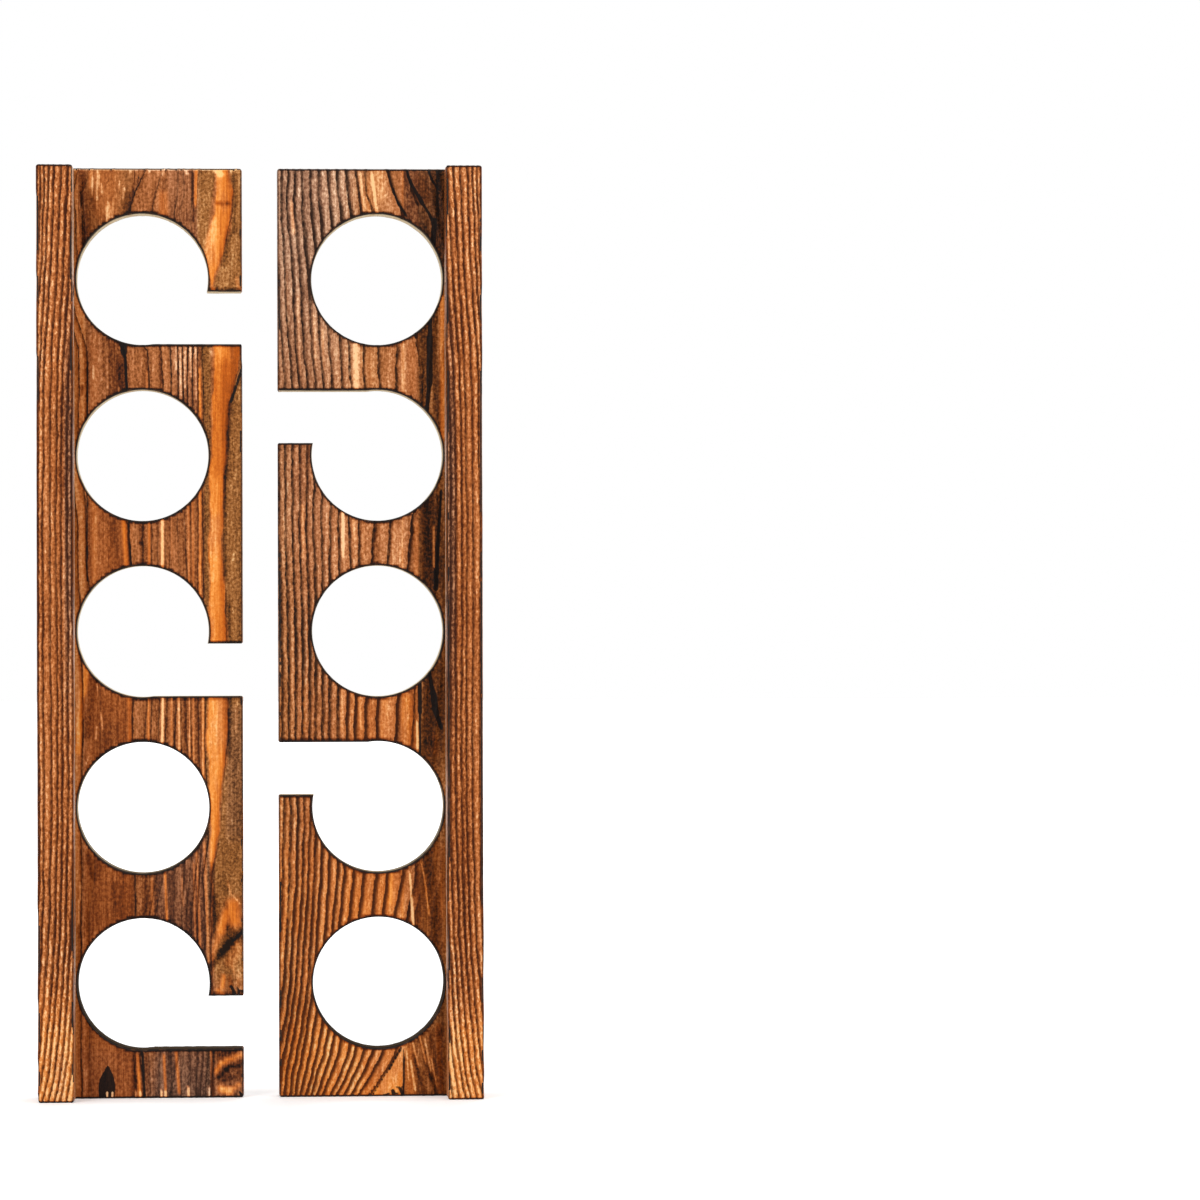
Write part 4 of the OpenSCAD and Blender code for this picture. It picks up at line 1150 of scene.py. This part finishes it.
class Tree:
    """A material's nodes, with one short call for each kind that is used here."""

    def __init__(self, name):
        self.material = bpy.data.materials.new(name)
        self.material.use_nodes = True
        self.nodes = self.material.node_tree.nodes
        self.links = self.material.node_tree.links
        self.shader = self.nodes["Principled BSDF"]
        self.object_place = self.nodes.new("ShaderNodeTexCoord").outputs["Object"]

    def feed(self, socket, value):
        """Links an output to a socket, or sets the socket's own value."""
        if isinstance(value, bpy.types.NodeSocket):
            self.links.new(value, socket)
        else:
            socket.default_value = value

    def math(self, kind, *values):
        """A Math node."""
        node = self.nodes.new("ShaderNodeMath")
        node.operation = kind
        for socket, value in zip(node.inputs, values):
            self.feed(socket, value)
        return node.outputs[0]

    def total(self, start, *terms):
        """start plus the sum of (value, factor) terms."""
        result = start
        for value, factor in terms:
            result = self.math("MULTIPLY_ADD", value, factor, result)
        return result

    def ramp(self, value, low, high, start=0.0, end=1.0):
        """Smooth change from start to end as value goes from low to high."""
        node = self.nodes.new("ShaderNodeMapRange")
        node.interpolation_type = "SMOOTHSTEP"
        for name, entry in (("Value", value), ("From Min", low), ("From Max", high),
                            ("To Min", start), ("To Max", end)):
            self.feed(node.inputs[name], entry)
        return node.outputs["Result"]

    def mix(self, share, one, other):
        """A colour mix: one where share is 0, other where it is 1."""
        node = self.nodes.new("ShaderNodeMix")
        node.data_type = "RGBA"
        self.feed(node.inputs["Factor"], share)
        self.feed(node.inputs["A"], one)
        self.feed(node.inputs["B"], other)
        return node.outputs["Result"]

    def scale_of(self, value, stops):
        """A colour for a value between 0 and 1, from (value, hex colour) stops."""
        node = self.nodes.new("ShaderNodeValToRGB")
        self.feed(node.inputs["Fac"], value)
        elements = node.color_ramp.elements
        while len(elements) < len(stops):
            elements.new(0.5)
        for element, (place, code) in zip(elements, stops):
            element.position = place
            element.color = paint(code)
        return node.outputs["Color"]

    def noise(self, stretch, detail=3.0, rough=0.5):
        """Noise with its own size along X, Y and Z, in ripples per metre."""
        mapping = self.nodes.new("ShaderNodeMapping")
        self.feed(mapping.inputs["Vector"], self.object_place)
        mapping.inputs["Scale"].default_value = stretch
        node = self.nodes.new("ShaderNodeTexNoise")
        self.feed(node.inputs["Vector"], mapping.outputs["Vector"])
        node.inputs["Scale"].default_value = 1
        node.inputs["Detail"].default_value = detail
        node.inputs["Roughness"].default_value = rough
        return node.outputs["Fac"]

    def swing(self, *settings):
        """Noise that swings evenly to both sides of nought."""
        return self.math("SUBTRACT", self.noise(*settings), 0.5)

    def attribute(self, name):
        """The outputs of a stored attribute."""
        node = self.nodes.new("ShaderNodeAttribute")
        node.attribute_name = name
        return node.outputs

    def axes(self, vector):
        """The three numbers of a vector."""
        node = self.nodes.new("ShaderNodeSeparateXYZ")
        self.feed(node.inputs[0], vector)
        return node.outputs[:3]

    def ring(self):
        """Ring count, ring width in mm and boldness."""
        return self.axes(self.attribute("ring")["Vector"])

    def parts(self, colour):
        """Red, green and blue of a colour, as three outputs."""
        node = self.nodes.new("ShaderNodeSeparateColor")
        self.feed(node.inputs[0], colour)
        return node.outputs[:3]

    def bump(self, height, depth, strength):
        """Bump of a real depth in metres."""
        node = self.nodes.new("ShaderNodeBump")
        node.inputs["Strength"].default_value = strength
        node.inputs["Distance"].default_value = depth
        self.feed(node.inputs["Height"], height)
        return node.outputs["Normal"]

    def finish(self, colour, roughness, specular, bump):
        """Gives the shader its colour, gloss and bump, and returns the material."""
        self.feed(self.shader.inputs["Base Color"], colour)
        self.feed(self.shader.inputs["Roughness"], roughness)
        self.feed(self.shader.inputs["Specular IOR Level"], specular)
        self.feed(self.shader.inputs["Normal"], bump)
        return self.material


# %% [markdown]
# The main finish. All its patterns add up to one number, how light the wood is, and a scale of
# colours turns that into wood: black-brown, brown, tan and pale gold, as torched pine really
# runs. Real widths matter: a dark line is one to two millimetres wide whatever the ring's own
# width, so the count is turned back into millimetres before the line is drawn.

# %% Torched and brushed pine
WOOD = [(0.0, "150803"), (0.16, "3F1B0A"), (0.34, "6E3614"), (0.5, "98582C"), (0.66, "BA7243"),
        (0.82, "D99766"), (1.0, "FAC898")]
GOLDEN = [(0.0, "260E02"), (0.25, "7E3606"), (0.5, "B85814"), (0.7, "DC7A28"), (0.86, "F49C48"),
          (1.0, "FFC67C")]
GREYED = [(0.0, "17110E"), (0.3, "53392C"), (0.55, "8E6852"), (0.8, "C9A185"), (1.0, "F2D2B6")]
OLIVE = [(0.0, "1A0E05"), (0.3, "5E3714"), (0.55, "905B29"), (0.8, "BE864C"), (1.0, "E6BC80")]
BURNT_GOLD = "4E2006"
BURNT_BLACK = "100C0B"


def torched_pine(name, level, line_mm, line_code, streaks, speckling, earlywood_and_highlight_share):
    """Material for a board's planed, torched and varnished faces."""
    tree = Tree(name)
    tints = tree.attribute("tints")
    gold, lighter, speckle = tree.parts(tints["Color"])
    lighter = tree.math("MULTIPLY_ADD", lighter, 2.0, -1.0)
    burnt, flame, pale = tree.axes(tree.attribute("marks")["Vector"])
    burnt = tree.total(burnt, (tree.swing((520, 520, 200), 3, 0.6), 1.1))
    burnt = tree.ramp(burnt, -0.15, 0.2)
    pale = tree.total(pale, (tree.swing((620, 620, 200), 3, 0.6), 0.9))
    pale = tree.ramp(pale, -0.12, 0.16)
    burnt = tree.math("MULTIPLY", burnt, tree.math("MULTIPLY_ADD", pale, -0.9, 1.0))
    flame = tree.total(flame, (tree.swing((240, 240, 70), 4, 0.65), 3.2))
    gold = tree.math("MAXIMUM", gold, tree.ramp(flame, -0.3, 0.4))
    gold_patches = tree.ramp(tree.noise((110, 110, 28), 3, 0.6), 0.32, 0.52, 0.62, 1.0)
    gold = tree.math("MULTIPLY", gold, gold_patches)
    count, ring_mm, bold = tree.ring()
    shift = tree.total(
        -0.35 * line_mm, (tree.swing((150, 150, 40), 2), 0.6), (tree.swing((900, 900, 560), 2), 1.0))
    count = tree.math("ADD", count, tree.math("DIVIDE", shift, ring_mm))
    part = tree.math("FRACT", count)
    tone = tree.nodes.new("ShaderNodeTexWhiteNoise")
    tone.noise_dimensions = "1D"
    tree.feed(tone.inputs["W"], tree.math("FLOOR", count))
    before = tree.math("MULTIPLY", tree.math("SUBTRACT", 1.0, part), ring_mm)
    after = tree.math("MULTIPLY", part, ring_mm)

    patchy = tree.noise((200, 200, 50), 3)
    firm = tree.ramp(bold, 0.84, 0.97)
    reach = tree.math("MULTIPLY", tree.total(0.3, (bold, 0.5), (patchy, 0.3), (firm, 0.4)), line_mm)
    edge_in, edge_out = tree.math("MULTIPLY", reach, 0.3), tree.math("MULTIPLY", reach, 1.25)
    line = tree.math("MAXIMUM", tree.ramp(before, edge_in, edge_out, 1.0, 0.0),
                     tree.ramp(after, 0.05, 0.35, 1.0, 0.0))
    worn = tree.math("MULTIPLY", tree.ramp(tree.noise((800, 800, 380), 2), 0.4, 0.66, 1.0, 0.6),
                     tree.ramp(patchy, 0.28, 0.5, 0.65, 1.0))
    worn = tree.math("MAXIMUM", worn, tree.math("MULTIPLY", firm, 0.95))
    line = tree.math("MULTIPLY", tree.math("MULTIPLY", line, worn), tree.ramp(bold, 0.1, 0.7, 0.15, 1.0))
    wide = tree.math("MINIMUM", tree.math("MULTIPLY_ADD", ring_mm, 0.4, 1.0), 2.8)
    shade = tree.math("MULTIPLY", tree.ramp(before, 0.0, wide, 1.0, 0.0), bold)
    # The pale band just after each dark line is partly the paler earlywood and partly a painted
    # highlight, broken into bright beads.
    beads = tree.ramp(tree.noise((1000, 1000, 520), 2, 0.6), 0.42, 0.6, 0.1, 1.0)
    earlywood_and_highlight = tree.math("MULTIPLY", tree.ramp(part, 0.06, 0.28), tree.ramp(part, 0.36, 0.72, 1.0, 0.0))
    earlywood_and_highlight = tree.math("MULTIPLY", tree.math("MULTIPLY", earlywood_and_highlight, beads), bold)

    specks = tree.ramp(tree.noise((760, 760, 620), 2, 0.6), 0.36, 0.64, -0.5, 0.5)
    worms = tree.ramp(tree.noise((760, 760, 900), 2, 0.6), 0.36, 0.64, -0.5, 0.5)
    fibre = tree.swing((1500, 1500, 55), 3, 0.6)
    flecks = tree.ramp(tree.noise((620, 620, 130), 2), 0.62, 0.72)
    plain = tree.math("SUBTRACT", 1.0, gold)
    light = tree.total(
        level, (tone.outputs["Value"], 0.12), (shade, -0.2), (earlywood_and_highlight, earlywood_and_highlight_share),
        (tree.swing((380, 380, 15), 3, 0.55), streaks), (fibre, 0.45),
        (tree.math("MULTIPLY", specks, tree.math("MULTIPLY_ADD", gold, -0.6, 1.0)), speckling),
        (tree.math("MULTIPLY", worms, speckle), 0.2), (tree.swing((35, 35, 12), 2), 0.3),
        (tree.math("MULTIPLY", flecks, plain), 0.16), (lighter, 0.75), (gold, 0.16), (pale, 0.19))

    colour = tree.scale_of(light, WOOD)
    colour = tree.mix(tree.math("MULTIPLY", speckle, 0.75), colour, tree.scale_of(light, OLIVE))
    colour = tree.mix(tree.math("MULTIPLY", tints["Alpha"], 0.85), colour, tree.scale_of(light, GREYED))
    colour = tree.mix(gold, colour, tree.scale_of(light, GOLDEN))
    line = tree.math("MULTIPLY", line, tree.math("MULTIPLY_ADD", pale, -0.8, 1.0))
    colour = tree.mix(tree.math("MULTIPLY", line, 0.96), colour,
                      tree.mix(tree.math("MULTIPLY", gold, 0.8), paint(line_code), paint(BURNT_GOLD)))
    colour = tree.mix(tree.math("MULTIPLY", burnt, 0.97), colour, paint(BURNT_BLACK))
    roughness = tree.ramp(tree.math("ADD", fibre, line), -0.2, 0.8, 0.4, 0.62)
    height = tree.total(0.0, (fibre, 0.5), (line, 0.4), (specks, 0.3))
    return tree.finish(colour, roughness, 0.08, tree.bump(height, 0.3 * MM, 0.7))


handle_wood = torched_pine(
    "torched_pine_handle_board", level=0.44, line_mm=1.0, line_code="1F0E08", streaks=0.4,
    speckling=0.19, earlywood_and_highlight_share=0.16)
tip_wood = torched_pine(
    "torched_pine_tip_board", level=0.52, line_mm=1.6, line_code="180B06", streaks=0.36,
    speckling=0.2, earlywood_and_highlight_share=0.18)
cleat_wood = torched_pine(
    "torched_pine_cleat", level=0.46, line_mm=1.4, line_code="331305", streaks=0.45,
    speckling=0.24, earlywood_and_highlight_share=0.37)

# %% [markdown]
# Edges and rims caught the flame from two sides and are charred nearly black, which draws a fine
# dark line round every outline. The walls of the holes only caught smoke: they are blackened for
# a few millimetres below both rims, and between that they show dull sawn pine with faint saw
# marks and grey patches, which are partly soot and partly a painted grey reflection. Towards the
# foot of a bracket they are smoked dark throughout.

# %% Charred edges, sawn walls


def charred_edge():
    """Nearly black char, a little browner where the edge was rubbed."""
    tree = Tree("charred_edge")
    wear_and_sheen = tree.noise((260, 260, 120), 4, 0.6)
    grain = tree.noise((1400, 1400, 300), 2)
    colour = tree.mix(tree.ramp(wear_and_sheen, 0.5, 0.74), paint("150C07"), paint("54331A"))
    colour = tree.mix(tree.ramp(grain, 0.4, 0.7, 0.0, 0.35), colour, paint("2C1A0F"))
    roughness = tree.ramp(wear_and_sheen, 0.3, 0.7, 0.62, 0.45)
    return tree.finish(colour, roughness, 0.2, tree.bump(grain, 0.15 * MM, 0.6))


def sawn_wall():
    """Sawn pine, sooty below both rims, with the saw's fine rings.

    Between the rims, grey patches are partly soot and partly a painted reflection.
    """
    tree = Tree("sawn_wall")
    soot_and_reflection = tree.noise((38, 60, 38), 4, 0.62)
    fibre = tree.noise((700, 700, 90), 3, 0.6)
    saw = tree.noise((40, 1600, 40), 2, 0.5)
    _, depth, height = tree.axes(tree.object_place)
    from_inner = tree.math("SUBTRACT", depth, inner_y)
    from_outer = tree.math("SUBTRACT", outer_y, depth)
    from_rim = tree.math("MINIMUM", from_inner, from_outer)
    smoke_line = tree.total(height, (tree.swing((34, 90, 34), 3, 0.6), 0.14))
    smoked = tree.ramp(smoke_line, 0.05, 0.2, 0.94, 0.0)
    burnt = tree.ramp(tree.math("MULTIPLY_ADD", soot_and_reflection, -5 * MM, from_rim), -2.6 * MM, 1.2 * MM, 1.0, 0.0)
    ring = tree.ramp(tree.math("FRACT", tree.ring()[0]), 0.72, 0.98, 0.0, 0.5)
    colour = tree.mix(tree.ramp(fibre, 0.35, 0.65), paint("E6D0AA"), paint("F6E7CB"))
    colour = tree.mix(ring, colour, paint("C9A070"))
    # Grey patches here are partly soot and partly a painted grey reflection.
    colour = tree.mix(tree.ramp(soot_and_reflection, 0.42, 0.7, 0.0, 0.3), colour, paint("B4ABA0"))
    colour = tree.mix(smoked, colour, paint("281C15"))
    colour = tree.mix(tree.ramp(saw, 0.35, 0.6, 0.25, 0.0), colour, paint("5A3E28"))
    colour = tree.mix(tree.math("MULTIPLY", burnt, 0.93), colour, paint("1C130D"))
    roughness = tree.ramp(fibre, 0.3, 0.7, 0.75, 0.55)
    return tree.finish(colour, roughness, 0.0, tree.bump(saw, 0.12 * MM, 0.6))


char = charred_edge()
sawn = sawn_wall()

# %% [markdown]
# End grain is cut across the fibres: it drinks the smoke and the varnish, so it is darker and
# duller, and it shows the rings as clean arcs with tiny pores instead of streaks.

# %% End grain


def end_grain():
    """Dark end grain with its rings and pores."""
    tree = Tree("end_grain")
    count, ring_mm, _ = tree.ring()
    before = tree.math("MULTIPLY", tree.math("SUBTRACT", 1.0, tree.math("FRACT", count)), ring_mm)
    line = tree.ramp(before, 0.0, tree.math("MULTIPLY", ring_mm, 0.45), 1.0, 0.0)
    pores = tree.noise((1700, 1700, 1700), 2, 0.6)
    smoke = tree.noise((70, 70, 70), 3, 0.6)
    colour = tree.mix(tree.ramp(pores, 0.35, 0.65), paint("5C3819"), paint("9C6634"))
    colour = tree.mix(tree.ramp(smoke, 0.35, 0.7, 0.0, 0.7), colour, paint("3A2415"))
    colour = tree.mix(tree.math("MULTIPLY", line, 0.85), colour, paint("1E110A"))
    roughness = tree.ramp(pores, 0.3, 0.7, 0.72, 0.55)
    return tree.finish(colour, roughness, 0.22, tree.bump(pores, 0.15 * MM, 0.7))


ends = end_grain()

# %% [markdown]
# The joint screws are plain countersunk wood screws with a black phosphate coat. Their shape is
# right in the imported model, so they keep it and only get a finish: a dry, faintly mottled black
# with a few greyer worn spots.

# %% Black screws


def black_screw():
    """Phosphated steel: dry black with a fine crystal mottle."""
    tree = Tree("black_screw")
    mottle = tree.noise((900, 900, 900), 4, 0.65)
    worn = tree.noise((260, 260, 260), 2)
    colour = tree.mix(tree.ramp(mottle, 0.35, 0.7), paint("17171A"), paint("35343A"))
    colour = tree.mix(tree.ramp(worn, 0.6, 0.75, 0.0, 0.6), colour, paint("5A5A60"))
    tree.shader.inputs["Metallic"].default_value = 0.85
    roughness = tree.ramp(mottle, 0.3, 0.7, 0.58, 0.38)
    return tree.finish(colour, roughness, 0.5, tree.bump(mottle, 0.04 * MM, 0.5))


screw_finish = black_screw()
for node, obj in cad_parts.items():
    if "screw" in node:
        obj.data.materials.clear()
        obj.data.materials.append(screw_finish)

# %% [markdown]
# Each face of a board now picks its finish by its place and the way it looks: faces on the
# outside are torched, the ends are end grain and the rounds next to an end are charred, except
# at the handle board's upper end. What lies inside the outline is a charred flat or a sawn wall.

# %% Put the finishes on the boards
SLOTS = {"torched": 0, "sawn": 1, "char": 2, "end": 3}
INSIDE = 0.45
INSIDE_FACE = 0.05
CHARRED = 0.62
WALL_LOOKS = 0.35
FLAT_LOOKS = 0.93
END_LOOKS = 0.6
WOODS = {"handle_rod_board": handle_wood, "tip_rod_board": tip_wood,
         "handle_wall_cleat": cleat_wood, "tip_wall_cleat": cleat_wood}


def sort_faces(node, mesh):
    """The slot number of every face."""
    low, high = (np.array(corner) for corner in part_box(node))
    centre, normal = rows_of(mesh.polygons, "center"), np.abs(rows_of(mesh.polygons, "normal"))
    gap = np.minimum(centre - low, high - centre) / MM
    kind = np.zeros(len(centre), int)
    inside = (gap[:, 0] > INSIDE) & (gap[:, 2] > INSIDE) & (gap[:, 1] > INSIDE_FACE)
    wall = inside & (normal[:, 1] < WALL_LOOKS)
    flat = inside & ~wall & (normal[:, 1] < FLAT_LOOKS)
    near = np.sort(gap, axis=1)
    edge = (near[:, 1] < CHARRED) & ~wall & (gap[:, 2] < CHARRED)
    kind[(gap[:, 2] < INSIDE) & (normal[:, 2] > END_LOOKS)] = SLOTS["end"]
    kind[wall] = SLOTS["sawn"]
    if node == WORN_END:
        edge &= centre[:, 2] < bracket_height / 2
    kind[flat | edge] = SLOTS["char"]
    return kind


for node, board in boards.items():
    mesh = board.data
    mesh.materials.clear()
    for material in (WOODS[node], sawn, char, ends):
        mesh.materials.append(material)
    kinds = sort_faces(node, mesh)
    mesh.polygons.foreach_set("material_index", kinds.astype(np.int32))
    only(board)
    bpy.ops.object.shade_smooth_by_angle(angle=math.radians(35))
    print(node, {name: int((kinds == number).sum()) for name, number in SLOTS.items()})

# %% [markdown]
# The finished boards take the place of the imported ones. Nothing on the rack moves, so they all
# ride on its one body.

# %% Hand the boards over
for node, board in boards.items():
    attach(board, "root")
    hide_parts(node)

# %% [markdown]
# The studio is a white floor under soft light from large lamps. To the camera and to reflections
# the floor adds a little light of its own, which takes it to plain white and leaves only the
# soft shadow under the feet. Further out the lamps reach it less, so it adds more there. The
# world lights the boards softly from all round and looks white to the camera.

# %% Floor, world and lamps
FLOOR_SIZE = 30
WORLD_LIGHT = 0.55
WORLD_SEEN = 1.0
LAMP_SIZE = 1.2


def floor_material():
    """White floor that looks white to the camera and keeps its shadow."""
    tree = Tree("studio_floor")
    tree.shader.inputs["Base Color"].default_value = (0.9, 0.9, 0.9, 1)
    tree.shader.inputs["Roughness"].default_value = 0.9
    path = tree.nodes.new("ShaderNodeLightPath").outputs
    seen = tree.math("MAXIMUM", path["Is Camera Ray"], path["Is Glossy Ray"])
    seen = tree.math("MAXIMUM", seen, path["Is Transmission Ray"])
    away = tree.nodes.new("ShaderNodeVectorMath")
    away.operation = "LENGTH"
    tree.feed(away.inputs[0], tree.object_place)
    glow = tree.ramp(away.outputs["Value"], 0.6, 3.2, 0.32, 1.0)
    tree.shader.inputs["Emission Color"].default_value = (1, 1, 1, 1)
    tree.feed(tree.shader.inputs["Emission Strength"], tree.math("MULTIPLY", seen, glow))
    return tree.material


bpy.ops.object.select_all(action="DESELECT")
bpy.ops.mesh.primitive_plane_add(size=FLOOR_SIZE, location=(0, 0, 0))
floor = bpy.context.object
floor.name = "studio_floor"
floor.data.materials.append(floor_material())

world = bpy.data.worlds.new("studio")
bpy.context.scene.world = world
world.use_nodes = True
background = world.node_tree.nodes["Background"]
background.inputs["Color"].default_value = (1, 1, 1, 1)
path = world.node_tree.nodes.new("ShaderNodeLightPath").outputs
seen = path["Is Camera Ray"]
for other in ("Is Glossy Ray", "Is Transmission Ray"):
    either = world.node_tree.nodes.new("ShaderNodeMath")
    either.operation = "MAXIMUM"
    world.node_tree.links.new(seen, either.inputs[0])
    world.node_tree.links.new(path[other], either.inputs[1])
    seen = either.outputs[0]
strength = world.node_tree.nodes.new("ShaderNodeMapRange")
world.node_tree.links.new(seen, strength.inputs["Value"])
strength.inputs["To Min"].default_value = WORLD_LIGHT
strength.inputs["To Max"].default_value = WORLD_SEEN
world.node_tree.links.new(strength.outputs[0], background.inputs["Strength"])


def lamp(name, place, watts):
    """A square soft lamp that looks at the middle of the pair."""
    data = bpy.data.lights.new(name, "AREA")
    data.size = LAMP_SIZE
    data.energy = watts
    obj = bpy.data.objects.new(name, data)
    obj.location = place
    obj.rotation_euler = (middle - Vector(place)).to_track_quat("-Z", "Y").to_euler()
    bpy.context.scene.collection.objects.link(obj)


lamp("key_lamp", (-1.3, -1.9, 1.5), 26)
lamp("fill_lamp", (1.5, -1.8, 1.0), 16)
lamp("back_lamp", (0.4, 1.8, 1.6), 18)
bpy.context.scene.view_settings.view_transform = "Standard"
